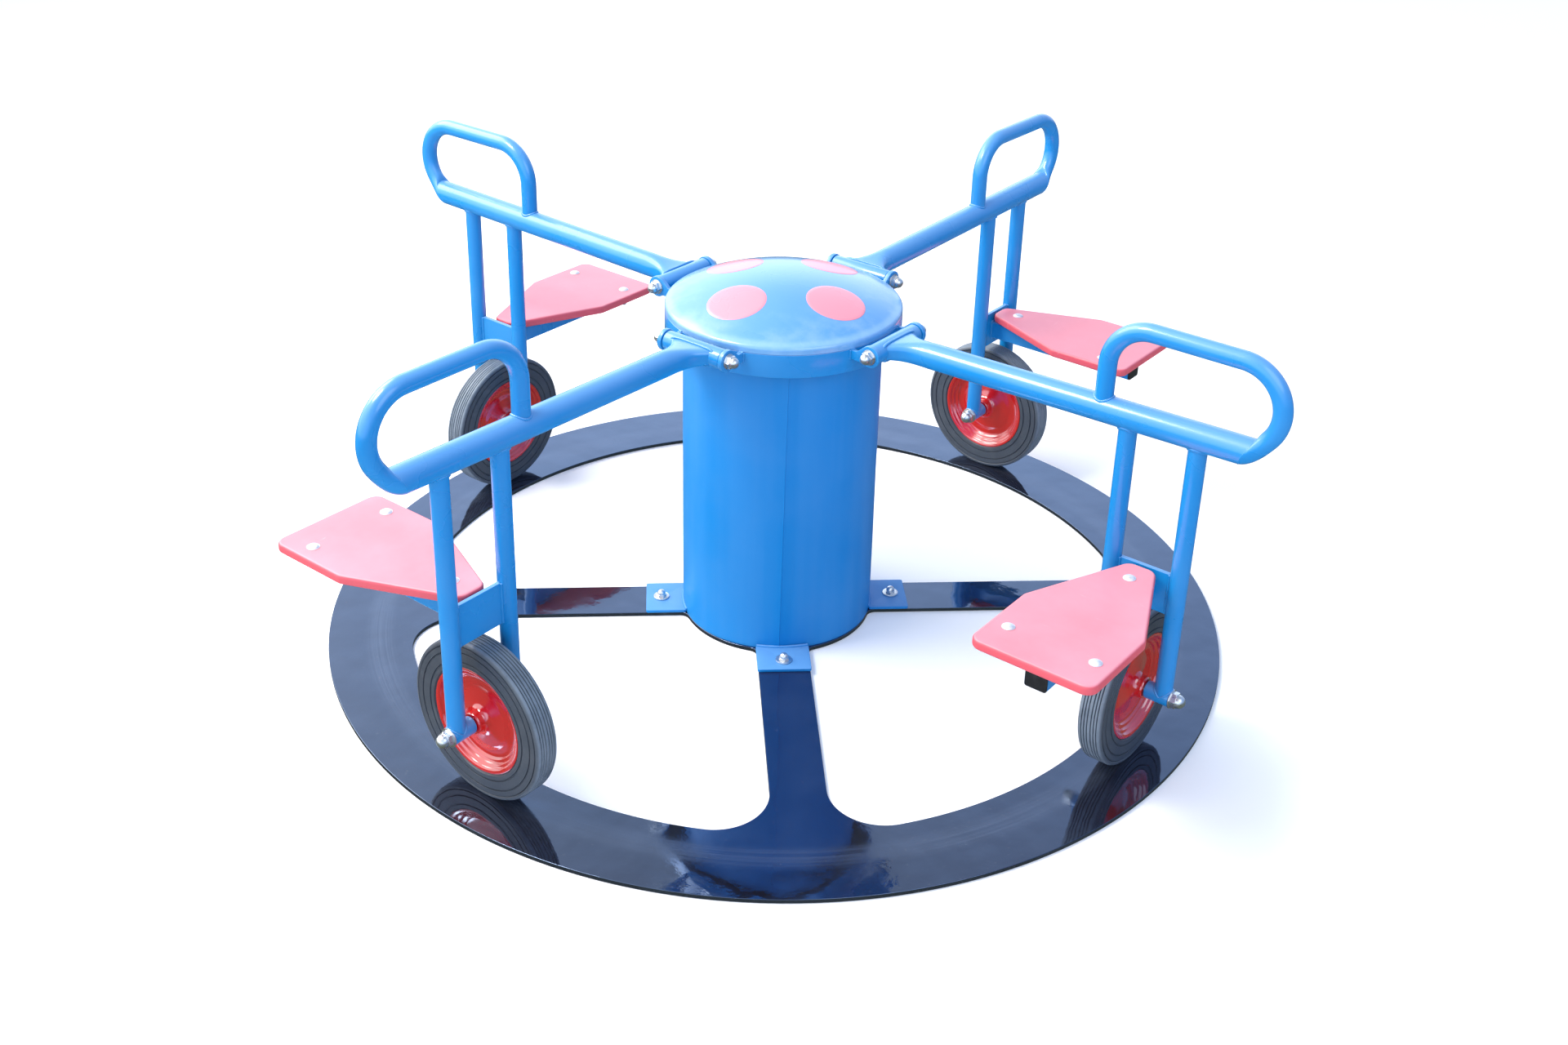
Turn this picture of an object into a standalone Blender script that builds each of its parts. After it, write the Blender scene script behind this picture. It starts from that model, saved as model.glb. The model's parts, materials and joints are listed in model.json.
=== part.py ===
"""Playground merry-go-round with four seats on wheeled arms.

A flat steel track plate lies on the ground. A drum is bolted to its spokes and
hides a fixed spindle. A head with a domed lid turns on the spindle, and four
arms hang on pivot pins in lugs round the head. Each arm has a grab handle, a
fork of two legs with a wheel that runs on the track plate, and a seat behind the
fork.

Metres, +Z up. The origin is on the ground, on the spindle's axis. Arm 1 lies
along +X and the others follow counter-clockwise. Riders face counter-clockwise.
"""

import math

import bmesh
import bpy
from mathutils import Matrix, Vector

# Driving dimensions. A name ending in _Z is a height above the track's top face,
# and one ending in _T lies along the way of travel, from the arm's centre line.
GAP = 0.0003  # between pieces that touch
OVERLAP = 0.0005  # how far joined shapes reach into each other
PAST = 0.100  # how far a cutter runs past the piece
ARMS = 4
HEAD_SIDES = 40
WHEEL_SIDES = 24
PARKED_TURN = math.radians(41.9)  # from arm 1 to the first spoke of the track plate

# Ground plate: a ring track on four spokes.
PLATE_THICK = 0.008
TRACK_INNER = 0.737
TRACK_OUTER = 0.895
SPOKE_WIDTH = 0.100
CENTRE_DISC = 0.192
RIM_FILLET = 0.095
CENTRE_FILLET = 0.020

# Pedestal drum and its feet.
DRUM_RADIUS = 0.192
DRUM_WALL = 0.004
DRUM_HEIGHT = 0.612
DRUM_TOP_THICK = 0.006
DRUM_TOP_HOLE = 0.062
DRUM_SIDES = 40
FOOT_REACH = 0.267
FOOT_WIDTH = 0.104
FOOT_THICK = 0.006
FOOT_BOLT_AT = 0.236
FOOT_BOLT_RADIUS = 0.006
FOOT_BOLT_CROWN = 0.0085
FOOT_BOLT_HEAD = 0.0105
FOOT_BOLT_HEIGHT = 0.010
WASHER_RADIUS = 0.013
WASHER_THICK = 0.0025

# Spindle, its two bearings and the hub sleeve of the head.
SPINDLE_RADIUS = 0.030
SPINDLE_SHOULDER = 0.036
SPINDLE_FLANGE = 0.090
SPINDLE_FLANGE_THICK = 0.012
SPINDLE_WELD = 0.004
SPINDLE_NUT = 0.038
SPINDLE_NUT_THICK = 0.016
SPINDLE_STUD = 0.022
SPINDLE_STUD_OUT = 0.006
BEARING_OUTER = 0.050
BEARING_HEIGHT = 0.025
LOWER_BEARING_Z = 0.505
UPPER_BEARING_Z = 0.610
HUB_OUTER = 0.058
HUB_LOW = 0.500
HUB_HIGH = 0.640

# Head: skirt, deck and lid.
SKIRT_RADIUS = 0.226
SKIRT_WALL = 0.005
SKIRT_LOW = 0.604
SKIRT_HIGH = 0.658
DECK_Z = 0.620
DECK_THICK = 0.006
LID_RISE = 0.057
LID_THICK = 0.004

# Pivots of the arms.
PIVOT_R = 0.2545
PIVOT_Z = 0.645
PIN_RADIUS = 0.008
LUG_INSIDE = 0.067
LUG_THICK = 0.009
LUG_RADIUS = 0.022
NECK_BELOW = 0.015
NECK_ABOVE = 0.0115
SLEEVE_RADIUS = 0.021
SLEEVE_HALF = 0.0655

# Arms and grab handles.
ARM_RADIUS = 0.02415
ARM_WALL = 0.0032
ARM_START = 0.0075  # past the pivot
ARM_BORE_START = 0.045  # past the pivot, where the tube is open inside
GUSSET_THICK = 0.008
GUSSET_START = 0.004
GUSSET_CORNER = 0.015
GUSSET_END = 0.075
GUSSET_HALF = 0.060
GUSSET_TIP_HALF = 0.018
ARM_END_R = 0.9435
ARM_END_Z = 0.660
MITRE = math.radians(25)
HANDLE_RADIUS = 0.016
HANDLE_BEND = 0.076
HANDLE_TOP_Z = 0.812
HANDLE_INNER_R = 0.683
HANDLE_OUTER_R = 0.991

# Wheels, legs and axles.
WHEEL_R = 0.797
WHEEL_RADIUS = 0.150
TYRE_WIDTH = 0.046
LEG_RADIUS = 0.016
LEG_WALL = 0.0026
LEG_SPREAD = 0.0635
LEG_SOLID = 0.030  # above the axle, where the leg isn't hollow
BOSS_INNER = 0.033
AXLE_RADIUS = 0.010
HUB_RADIUS = 0.020
HUB_HALF = 0.031
PLATE_LOW = 0.313
PLATE_HIGH = 0.392
BRIDGE_THICK = 0.008

# Tyre and rim, across the wheel's middle plane.
TREAD_HALF = 0.014
SHOULDER_DROP = 0.006
RIM_SEAT = 0.092
RIM_EDGE = 0.100
RIM_HALF = 0.0215
RIM_WALL = 0.003
LIP_THICK = 0.002
DISC_HALF = 0.004
DISC_HUB_HALF = 0.010

# Nuts, as shares of the nut's radius.
PIVOT_NUT = 0.0130
AXLE_NUT = 0.0155
NUT_THICK = 0.75
DOME_RISE = 0.90
DOME_WIDTH = 0.85

# Seats and what carries them.
SEAT_TOP = 0.393
SEAT_THICK = 0.018
SEAT_HALF_WIDTH = 0.1125
SEAT_NOSE_HALF = 0.026
SEAT_R = 0.796
SEAT_NOSE_T = -0.010
SEAT_SHOULDER_T = -0.215
SEAT_REAR_T = -0.388
SEAT_CORNER = 0.022
BEARER_SIDE = 0.040
BEARER_WALL = 0.003
BEARER_END_T = -0.356
STRAP_THICK = 0.005
STRAP_HALF = 0.100
STRAP_T = -0.320
STRAP_START = 0.020
PLUG_CAP = 0.005
PLUG_DEPTH = 0.018

COLOURS = {
    "blue_paint": ((0.03, 0.22, 0.72), 0.30, 0.0),
    "black_paint": ((0.02, 0.02, 0.03), 0.30, 0.0),
    "red_paint": ((0.60, 0.02, 0.02), 0.25, 0.0),
    "seat_board": ((0.80, 0.25, 0.30), 0.45, 0.0),
    "rubber": ((0.03, 0.03, 0.03), 0.80, 0.0),
    "zinc": ((0.70, 0.70, 0.70), 0.35, 1.0),
    "steel": ((0.45, 0.45, 0.46), 0.40, 1.0),
    "black_plastic": ((0.01, 0.01, 0.01), 0.50, 0.0),
}


def clear_scene():
    for obj in list(bpy.data.objects):
        bpy.data.objects.remove(obj, do_unlink=True)


def make_material(name):
    """A Principled material in the named colour."""
    colour, roughness, metallic = COLOURS[name]
    material = bpy.data.materials.new(name)
    material.use_nodes = True
    shader = material.node_tree.nodes["Principled BSDF"]
    shader.inputs["Base Color"].default_value = (*colour, 1.0)
    shader.inputs["Roughness"].default_value = roughness
    shader.inputs["Metallic"].default_value = metallic
    material.diffuse_color = (*colour, 1.0)
    return material


def place(name, data):
    """A new object in the merry-go-round's collection."""
    obj = bpy.data.objects.new(name, data)
    COLLECTION.objects.link(obj)
    return obj


def finish(obj, material, parent):
    """Gives a piece its material, smooth shading and the empty it moves with."""
    obj.data.materials.clear()
    obj.data.materials.append(MATERIALS[material])
    if obj.type == "MESH" and obj.data.polygons:
        obj.data.shade_smooth()
        obj.data.set_sharp_from_angle(angle=math.radians(30))
    bpy.context.view_layer.update()
    obj.parent = parent
    obj.matrix_parent_inverse = parent.matrix_world.inverted()
    return obj


def box(name, low, high):
    """A block between two corners."""
    low, high = Vector(low), Vector(high)
    shape = bmesh.new()
    bmesh.ops.create_cube(shape, size=1.0)
    bmesh.ops.scale(shape, vec=high - low, verts=shape.verts)
    bmesh.ops.translate(shape, vec=(low + high) / 2, verts=shape.verts)
    mesh = bpy.data.meshes.new(name)
    shape.to_mesh(mesh)
    shape.free()
    return place(name, mesh)


def cylinder(name, radius, start, end, sides=24):
    """A capped cylinder from one point to another."""
    start, end = Vector(start), Vector(end)
    span = end - start
    turn = Vector((0, 0, 1)).rotation_difference(span).to_matrix().to_4x4()
    shape = bmesh.new()
    bmesh.ops.create_cone(
        shape,
        cap_ends=True,
        segments=sides,
        radius1=radius,
        radius2=radius,
        depth=span.length,
        matrix=Matrix.Translation((start + end) / 2) @ turn,
    )
    mesh = bpy.data.meshes.new(name)
    shape.to_mesh(mesh)
    shape.free()
    return place(name, mesh)


def turned(name, profile, sides, closed=True):
    """A profile of (radius, height) points turned about Z, down its outer side first."""
    mesh = bpy.data.meshes.new(name)
    edges = [(i, i + 1) for i in range(len(profile) - 1)]
    if closed:
        edges.append((len(profile) - 1, 0))
    mesh.from_pydata([(radius, 0.0, height) for radius, height in profile], edges, [])
    obj = place(name, mesh)
    screw = obj.modifiers.new("turn", "SCREW")
    screw.steps = sides
    screw.render_steps = sides
    screw.use_merge_vertices = True
    screw.merge_threshold = 0.00001
    screw.use_smooth_shade = True
    bake(obj)
    return obj


def outline(name, loops, low, high):
    """Flat closed outlines, the first one outside and the rest holes, between two heights."""
    curve = bpy.data.curves.new(name, "CURVE")
    curve.dimensions = "2D"
    curve.fill_mode = "BOTH"
    curve.extrude = (high - low) / 2
    for points in loops:
        spline = curve.splines.new("POLY")
        spline.points.add(len(points) - 1)
        for point, (x, y) in zip(spline.points, points):
            point.co = (x, y, 0.0, 1.0)
        spline.use_cyclic_u = True
    obj = place(name, curve)
    obj.location.z = (low + high) / 2
    return as_mesh(obj)


def rod(name, points, radius, sides):
    """A round bar through points, with filled ends."""
    curve = bpy.data.curves.new(name, "CURVE")
    curve.dimensions = "3D"
    curve.bevel_depth = radius
    curve.bevel_resolution = (sides - 4) // 2
    curve.use_fill_caps = True
    spline = curve.splines.new("POLY")
    spline.points.add(len(points) - 1)
    for point, place_at in zip(spline.points, points):
        point.co = (*place_at, 1.0)
    return as_mesh(place(name, curve))


def as_mesh(curve_object):
    """The curve object's shape as a mesh object in its place, with its caps welded on."""
    bpy.context.view_layer.update()
    graph = bpy.context.evaluated_depsgraph_get()
    mesh = bpy.data.meshes.new_from_object(curve_object.evaluated_get(graph))
    mesh.transform(curve_object.matrix_world)
    shape = bmesh.new()
    shape.from_mesh(mesh)
    bmesh.ops.remove_doubles(shape, verts=shape.verts, dist=0.00001)
    bmesh.ops.recalc_face_normals(shape, faces=shape.faces)
    shape.to_mesh(mesh)
    shape.free()
    name = curve_object.name
    bpy.data.objects.remove(curve_object, do_unlink=True)
    return place(name, mesh)


def bake(obj):
    """Puts the object's modifiers and transform into its mesh."""
    bpy.context.view_layer.update()
    graph = bpy.context.evaluated_depsgraph_get()
    mesh = bpy.data.meshes.new_from_object(obj.evaluated_get(graph))
    mesh.transform(obj.matrix_world)
    obj.modifiers.clear()
    obj.data = mesh
    obj.matrix_world = Matrix.Identity(4)


def boolean(obj, other, operation):
    """Joins the other shape to the object, or cuts it away, and removes the other."""
    modifier = obj.modifiers.new("with " + other.name, "BOOLEAN")
    modifier.operation = operation
    modifier.object = other
    bake(obj)
    bpy.data.objects.remove(other, do_unlink=True)


def weld(obj, *others):
    for other in others:
        boolean(obj, other, "UNION")
    return obj


def cut(obj, *others):
    for other in others:
        boolean(obj, other, "DIFFERENCE")
    return obj


def turn_about_z(obj, angle):
    obj.matrix_world = Matrix.Rotation(angle, 4, "Z") @ obj.matrix_world
    bake(obj)
    return obj


def quarter_turns(offset=0.0):
    return [offset + math.tau * i / ARMS for i in range(ARMS)]


def arc(centre, radius, start, end, steps):
    """Points of an arc in a plane, both ends included."""
    angles = [start + (end - start) * i / steps for i in range(steps + 1)]
    return [
        (centre[0] + radius * math.cos(a), centre[1] + radius * math.sin(a))
        for a in angles
    ]


def up(height):
    """A height above the track as a height above the ground."""
    return PLATE_THICK + height


# Base: what stays still.


def window_points():
    """One opening of the track plate, between the spoke along +X and the one along +Y."""
    half = SPOKE_WIDTH / 2
    quarter = math.pi / 2

    rim_side = half + RIM_FILLET
    rim_along = math.sqrt((TRACK_INNER - RIM_FILLET) ** 2 - rim_side**2)
    rim_angle = math.atan2(rim_side, rim_along)
    hub_side = half + CENTRE_FILLET
    hub_along = math.sqrt((CENTRE_DISC + CENTRE_FILLET) ** 2 - hub_side**2)
    hub_angle = math.atan2(hub_side, hub_along)

    points = arc((rim_along, rim_side), RIM_FILLET, -quarter, rim_angle, 6)
    points += arc((0, 0), TRACK_INNER, rim_angle, quarter - rim_angle, 6)[1:-1]
    points += arc((rim_side, rim_along), RIM_FILLET, quarter - rim_angle, math.pi, 6)
    points += arc(
        (hub_side, hub_along), CENTRE_FILLET, math.pi, math.tau - quarter - hub_angle, 3
    )
    points += arc((0, 0), CENTRE_DISC, quarter - hub_angle, hub_angle, 4)[1:-1]
    points += arc(
        (hub_along, hub_side), CENTRE_FILLET, math.pi + hub_angle, math.pi + quarter, 3
    )
    return points


def rotated(points, angle):
    c, s = math.cos(angle), math.sin(angle)
    return [(x * c - y * s, x * s + y * c) for x, y in points]


def track_plate():
    """The ring track, its spokes and its centre disc, cut from one sheet."""
    loops = [arc((0, 0), TRACK_OUTER, 0, math.tau, 60)[:-1]]
    for angle in quarter_turns(PARKED_TURN):
        loops.append(rotated(window_points(), angle))
        hole = arc((FOOT_BOLT_AT, 0), FOOT_BOLT_RADIUS + GAP, 0, math.tau, 10)[:-1]
        loops.append(rotated(hole, angle))
    return outline("track_plate", loops, 0.0, PLATE_THICK)


def pedestal_drum():
    """A rolled drum, its top ring and four feet, welded together."""
    low, high = up(GAP), up(DRUM_HEIGHT)
    wall = DRUM_RADIUS - DRUM_WALL
    profile = [
        (DRUM_TOP_HOLE, high),
        (DRUM_RADIUS, high),
        (DRUM_RADIUS, low),
        (wall, low),
        (wall, high - DRUM_TOP_THICK),
        (DRUM_TOP_HOLE, high - DRUM_TOP_THICK),
    ]
    drum = turned("pedestal_drum", profile, DRUM_SIDES)
    half = FOOT_WIDTH / 2
    for angle in quarter_turns(PARKED_TURN):
        foot = box("foot", (wall + OVERLAP, -half, low), (FOOT_REACH, half, low + FOOT_THICK))
        weld(drum, turn_about_z(foot, angle))
        ends = (FOOT_BOLT_AT, 0, 0), (FOOT_BOLT_AT, 0, up(PAST))
        hole = cylinder("hole", FOOT_BOLT_RADIUS + GAP, *ends, 12)
        cut(drum, turn_about_z(hole, angle))
    return drum


def foot_bolt(index, angle):
    """A dome-headed bolt with its washer, through a foot and the plate."""
    seat = up(FOOT_THICK + 2 * GAP)
    washer = seat + WASHER_THICK
    profile = [
        (0.0, washer + FOOT_BOLT_HEIGHT),
        (FOOT_BOLT_CROWN, washer + FOOT_BOLT_HEIGHT * 0.7),
        (FOOT_BOLT_HEAD, washer),
        (WASHER_RADIUS, washer),
        (WASHER_RADIUS, seat),
        (FOOT_BOLT_RADIUS - GAP, seat),
        (FOOT_BOLT_RADIUS - GAP, GAP),
        (0.0, GAP),
    ]
    bolt = turned(f"foot_bolt_{index}", profile, 10, closed=False)
    bolt.matrix_world = Matrix.Rotation(angle, 4, "Z") @ Matrix.Translation((FOOT_BOLT_AT, 0, 0))
    bake(bolt)
    return bolt


def spindle():
    """The fixed post, with its base flange, bearing shoulder and top nut."""
    nut_low = up(UPPER_BEARING_Z + BEARING_HEIGHT + GAP)
    nut_high = nut_low + SPINDLE_NUT_THICK
    shoulder = up(LOWER_BEARING_Z - GAP)
    profile = [
        (0.0, nut_high + SPINDLE_STUD_OUT),
        (SPINDLE_STUD, nut_high + SPINDLE_STUD_OUT),
        (SPINDLE_STUD, nut_high),
        (SPINDLE_NUT, nut_high),
        (SPINDLE_NUT, nut_low),
        (SPINDLE_RADIUS, nut_low),
        (SPINDLE_RADIUS, shoulder),
        (SPINDLE_SHOULDER, shoulder),
        (SPINDLE_SHOULDER, up(SPINDLE_FLANGE_THICK + SPINDLE_WELD)),
        (SPINDLE_FLANGE, up(SPINDLE_FLANGE_THICK)),
        (SPINDLE_FLANGE, up(GAP)),
        (0.0, up(GAP)),
    ]
    return turned("spindle", profile, 24, closed=False)


# Head: what turns on the spindle.


def bearing(name, low):
    """A bearing ring between the spindle and the hub sleeve."""
    inner, outer = SPINDLE_RADIUS + GAP, BEARING_OUTER - GAP
    low, high = up(low), up(low + BEARING_HEIGHT)
    profile = [(outer, high), (outer, low), (inner, low), (inner, high)]
    return turned(name, profile, 24)


def head_hub():
    """The hub sleeve that holds the bearings, with the deck that joins it to the skirt."""
    edge = SKIRT_RADIUS - SKIRT_WALL - GAP
    deck_low, deck_high = up(DECK_Z), up(DECK_Z + DECK_THICK)
    profile = [
        (HUB_OUTER, up(HUB_HIGH)),
        (HUB_OUTER, deck_high),
        (edge, deck_high),
        (edge, deck_low),
        (HUB_OUTER, deck_low),
        (HUB_OUTER, up(HUB_LOW)),
        (BEARING_OUTER, up(HUB_LOW)),
        (BEARING_OUTER, up(HUB_HIGH)),
    ]
    return turned("head_hub", profile, HEAD_SIDES)


def head_ring():
    """The skirt round the head, with a pair of lugs for each arm."""
    inner = SKIRT_RADIUS - SKIRT_WALL
    low, high = up(SKIRT_LOW), up(SKIRT_HIGH)
    profile = [(SKIRT_RADIUS, high), (SKIRT_RADIUS, low), (inner, low), (inner, high)]
    ring = turned("head_ring", profile, HEAD_SIDES)
    z = up(PIVOT_Z)
    neck_start = math.sqrt(SKIRT_RADIUS**2 - LUG_INSIDE**2) - SKIRT_WALL / 2
    for angle in quarter_turns():
        for side in (1, -1):
            near, far = side * LUG_INSIDE, side * (LUG_INSIDE + LUG_THICK)
            lug = cylinder("lug", LUG_RADIUS, (PIVOT_R, near, z), (PIVOT_R, far, z), 16)
            neck = box(
                "neck",
                (neck_start, min(near, far), z - NECK_BELOW),
                (PIVOT_R, max(near, far), z + NECK_ABOVE),
            )
            weld(ring, turn_about_z(weld(lug, neck), angle))
        reach = LUG_INSIDE + 2 * LUG_THICK
        bore = cylinder(
            "bore", PIN_RADIUS + GAP, (PIVOT_R, -reach, z), (PIVOT_R, reach, z), 12
        )
        cut(ring, turn_about_z(bore, angle))
    return ring


def dome_lid():
    """The domed lid: a thin cap of a sphere on the skirt."""
    radius = (SKIRT_RADIUS**2 + LID_RISE**2) / (2 * LID_RISE)
    centre = up(SKIRT_HIGH + GAP + LID_RISE) - radius
    spread = math.asin(SKIRT_RADIUS / radius)
    inside = radius - LID_THICK
    inside_spread = math.acos(radius * math.cos(spread) / inside)
    quarter = math.pi / 2
    outer = arc((0, centre), radius, quarter, quarter - spread, 4)
    inner = arc((0, centre), inside, quarter - inside_spread, quarter, 4)
    return turned("dome_lid", outer + inner, HEAD_SIDES, closed=False)


# One arm, along +X. Copies of it make the other three.


def dome_nut_profile(length, shank, nut):
    """Half a pin's profile, from the dome of its nut down to its middle."""
    collar = length + nut * NUT_THICK
    dome = arc((0, 0), 1.0, math.pi / 2, 0.0, 2)
    points = [(nut * DOME_WIDTH * x, collar + nut * DOME_RISE * y) for x, y in dome]
    points[0] = (0.0, points[0][1])
    return points + [(nut, collar), (nut, length), (shank, length)]


def pin_with_dome_nuts(name, length, shank, nut, sides):
    """A pin whose two ends stand at +-length, with a dome nut on each."""
    half = dome_nut_profile(length, shank, nut)
    profile = half + [(radius, -height) for radius, height in reversed(half)]
    return turned(name, profile, sides, closed=False)


def arm_line(r):
    """The arm tube's centre line, which rises a little towards its end."""
    slope = (ARM_END_Z - PIVOT_Z) / (ARM_END_R - PIVOT_R)
    return Vector((r, 0.0, up(PIVOT_Z + slope * (r - PIVOT_R))))


def swing_arm():
    """The arm tube with the pivot sleeve and the two gussets at its inner end."""
    start, end = arm_line(PIVOT_R + ARM_START), arm_line(ARM_END_R + PAST / 2)
    arm = cylinder("swing_arm_1", ARM_RADIUS, start, end, 20)
    pivot = Vector((PIVOT_R, 0.0, up(PIVOT_Z)))
    across = Vector((0.0, SLEEVE_HALF, 0.0))
    sleeve = cylinder("sleeve", SLEEVE_RADIUS, pivot - across, pivot + across, 16)
    fin = [
        (PIVOT_R + GUSSET_START, -GUSSET_HALF),
        (PIVOT_R + GUSSET_CORNER, -GUSSET_HALF),
        (PIVOT_R + GUSSET_END, -GUSSET_TIP_HALF),
    ]
    fin += [(x, -y) for x, y in reversed(fin)]
    half = GUSSET_THICK / 2
    weld(arm, sleeve, outline("gusset", [fin], pivot.z - half, pivot.z + half))
    inside = arm_line(PIVOT_R + ARM_BORE_START), arm_line(ARM_END_R + PAST)
    hollow = cylinder("hollow", ARM_RADIUS - ARM_WALL, *inside, 20)
    bore = cylinder("bore", PIN_RADIUS + GAP, pivot - across * 2, pivot + across * 2, 12)
    mitre = box("mitre", (0.0, -PAST, -2 * PAST), (2 * PAST, PAST, 2 * PAST))
    mitre.matrix_world = (
        Matrix.Translation(arm_line(ARM_END_R)) @ Matrix.Rotation(MITRE, 4, "Y")
    )
    bake(mitre)
    return cut(arm, hollow, bore, mitre)


def arm_envelope():
    """The arm's outer surface and a touch more, to cope the tubes that meet it."""
    ends = arm_line(PIVOT_R), arm_line(HANDLE_OUTER_R + PAST)
    return cylinder("envelope", ARM_RADIUS + GAP, *ends, 20)


def grab_handle():
    """The bent rail over the arm: up, along, and round into the arm's mitred end."""
    bend, top = HANDLE_BEND, up(HANDLE_TOP_Z)
    inner = (HANDLE_INNER_R + bend, top - bend)
    outer = (HANDLE_OUTER_R - bend, top - bend)
    route = [(HANDLE_INNER_R, arm_line(HANDLE_INNER_R).z)]
    route += arc(inner, bend, math.pi, math.pi / 2, 5)
    route += arc(outer, bend, math.pi / 2, MITRE - math.pi / 2, 9)
    handle = rod("grab_handle_1", [(r, 0.0, z) for r, z in route], HANDLE_RADIUS, 8)
    return cut(handle, arm_envelope())


def axle_height():
    """The wheel's axis, a gap higher than its radius above the track."""
    return up(WHEEL_RADIUS) + GAP


def leg(name, side):
    """A fork leg: a tube down from the arm to a boss for the axle."""
    r = WHEEL_R + side * LEG_SPREAD
    inner, outer = WHEEL_R + side * BOSS_INNER, r + side * LEG_RADIUS
    z = axle_height()
    post = cylinder(name, LEG_RADIUS, (r, 0, z - LEG_RADIUS / 4), arm_line(r), 12)
    weld(post, cylinder("boss", LEG_RADIUS, (inner, 0, z), (outer, 0, z), 12))
    inside = (r, 0, z + LEG_SOLID), (r, 0, up(HANDLE_TOP_Z))
    hollow = cylinder("hollow", LEG_RADIUS - LEG_WALL, *inside, 12)
    through = (WHEEL_R, 0, z), (r + side * PAST, 0, z)
    bore = cylinder("bore", AXLE_RADIUS + GAP, *through, 12)
    return cut(post, hollow, bore, arm_envelope())


def bridge_plate():
    """The plate between the legs, over the wheel."""
    reach = LEG_SPREAD - LEG_RADIUS - GAP
    half = BRIDGE_THICK / 2
    return box(
        "bridge_plate_1",
        (WHEEL_R - reach, -half, up(PLATE_LOW)),
        (WHEEL_R + reach, half, up(PLATE_HIGH)),
    )


def seat_bearer():
    """The square tube behind the bridge plate, with the tee-shaped strap on top of it."""
    top = up(SEAT_TOP - SEAT_THICK) - GAP
    tube_top = top - STRAP_THICK
    start = -BRIDGE_THICK / 2 - GAP
    half, inside = BEARER_SIDE / 2, BEARER_SIDE / 2 - BEARER_WALL
    bearer = box(
        "seat_bearer_1",
        (WHEEL_R - half, BEARER_END_T, tube_top - BEARER_SIDE),
        (WHEEL_R + half, start, tube_top),
    )
    hollow = box(
        "hollow",
        (WHEEL_R - inside, BEARER_END_T - PAST, tube_top - BEARER_SIDE + BEARER_WALL),
        (WHEEL_R + inside, start + PAST, tube_top - BEARER_WALL),
    )
    cut(bearer, hollow)
    front, rear = STRAP_T + half, STRAP_T - half
    right = [(half, start - STRAP_START), (half, front), (STRAP_HALF, front), (STRAP_HALF, rear)]
    tee = [(WHEEL_R + x, t) for x, t in right]
    tee += [(WHEEL_R - x, t) for x, t in reversed(right)]
    return weld(bearer, outline("strap", [tee], tube_top - OVERLAP, top))


def bearer_plug():
    """The plastic cap in the bearer's rear end."""
    top = up(SEAT_TOP - SEAT_THICK) - GAP - STRAP_THICK
    half = BEARER_SIDE / 2
    stem = half - BEARER_WALL - GAP
    end = BEARER_END_T - GAP
    plug = box(
        "bearer_plug_1",
        (WHEEL_R - half, end - PLUG_CAP, top - BEARER_SIDE),
        (WHEEL_R + half, end, top),
    )
    body = box(
        "body",
        (WHEEL_R - stem, end - OVERLAP, top - half - stem),
        (WHEEL_R + stem, end + PLUG_DEPTH, top - half + stem),
    )
    return weld(plug, body)


def rounded(corners, radius, steps):
    """The corners of a convex outline, each replaced by an arc."""
    points = []
    count = len(corners)
    for i, corner in enumerate(corners):
        here = Vector(corner)
        before = (Vector(corners[i - 1]) - here).normalized()
        after = (Vector(corners[(i + 1) % count]) - here).normalized()
        half = before.angle(after) / 2
        centre = here + (before + after).normalized() * radius / math.sin(half)
        first = here + before * radius / math.tan(half) - centre
        last = here + after * radius / math.tan(half) - centre
        start, end = math.atan2(first.y, first.x), math.atan2(last.y, last.x)
        sweep = math.remainder(end - start, math.tau)
        points += arc(centre, radius, start, start + sweep, steps)
    return points


def seat_board():
    """The six-sided seat, narrow at its nose."""
    right = [
        (SEAT_NOSE_HALF, SEAT_NOSE_T),
        (SEAT_HALF_WIDTH, SEAT_SHOULDER_T),
        (SEAT_HALF_WIDTH, SEAT_REAR_T),
    ]
    corners = [(SEAT_R + x, t) for x, t in right]
    corners += [(SEAT_R - x, t) for x, t in reversed(right)]
    points = rounded(corners, SEAT_CORNER, 4)
    return outline("seat_board_1", [points], up(SEAT_TOP - SEAT_THICK), up(SEAT_TOP))


def wheel_axle():
    """The axle through both legs and the wheel, with a dome nut on each end."""
    length = LEG_SPREAD + LEG_RADIUS + GAP
    axle = pin_with_dome_nuts("wheel_axle_1", length, AXLE_RADIUS - GAP, AXLE_NUT, 12)
    return lay_along_x(axle)


def pivot_pin():
    """The pin through a pair of lugs and an arm's sleeve, with a dome nut on each end."""
    length = LUG_INSIDE + LUG_THICK + GAP
    pin = pin_with_dome_nuts("pivot_pin_1", length, PIN_RADIUS - GAP, PIVOT_NUT, 12)
    pin.matrix_world = (
        Matrix.Translation((PIVOT_R, 0, up(PIVOT_Z))) @ Matrix.Rotation(math.pi / 2, 4, "X")
    )
    bake(pin)
    return pin


def lay_along_x(obj):
    """Moves a turned piece from the Z axis to the wheel's axis."""
    centre = Matrix.Translation((WHEEL_R, 0, axle_height()))
    obj.matrix_world = centre @ Matrix.Rotation(math.pi / 2, 4, "Y")
    bake(obj)
    return obj


def tyre():
    """The solid rubber tyre."""
    half = TYRE_WIDTH / 2
    inside = RIM_HALF - LIP_THICK - GAP
    lower = [
        (WHEEL_RADIUS, -TREAD_HALF),
        (WHEEL_RADIUS - SHOULDER_DROP, -half),
        (RIM_EDGE + GAP, -half),
        (RIM_EDGE + GAP, -inside),
        (RIM_SEAT + GAP, -inside),
    ]
    upper = [(radius, -height) for radius, height in reversed(lower)]
    return lay_along_x(turned("tyre_1", lower + upper, WHEEL_SIDES))


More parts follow.
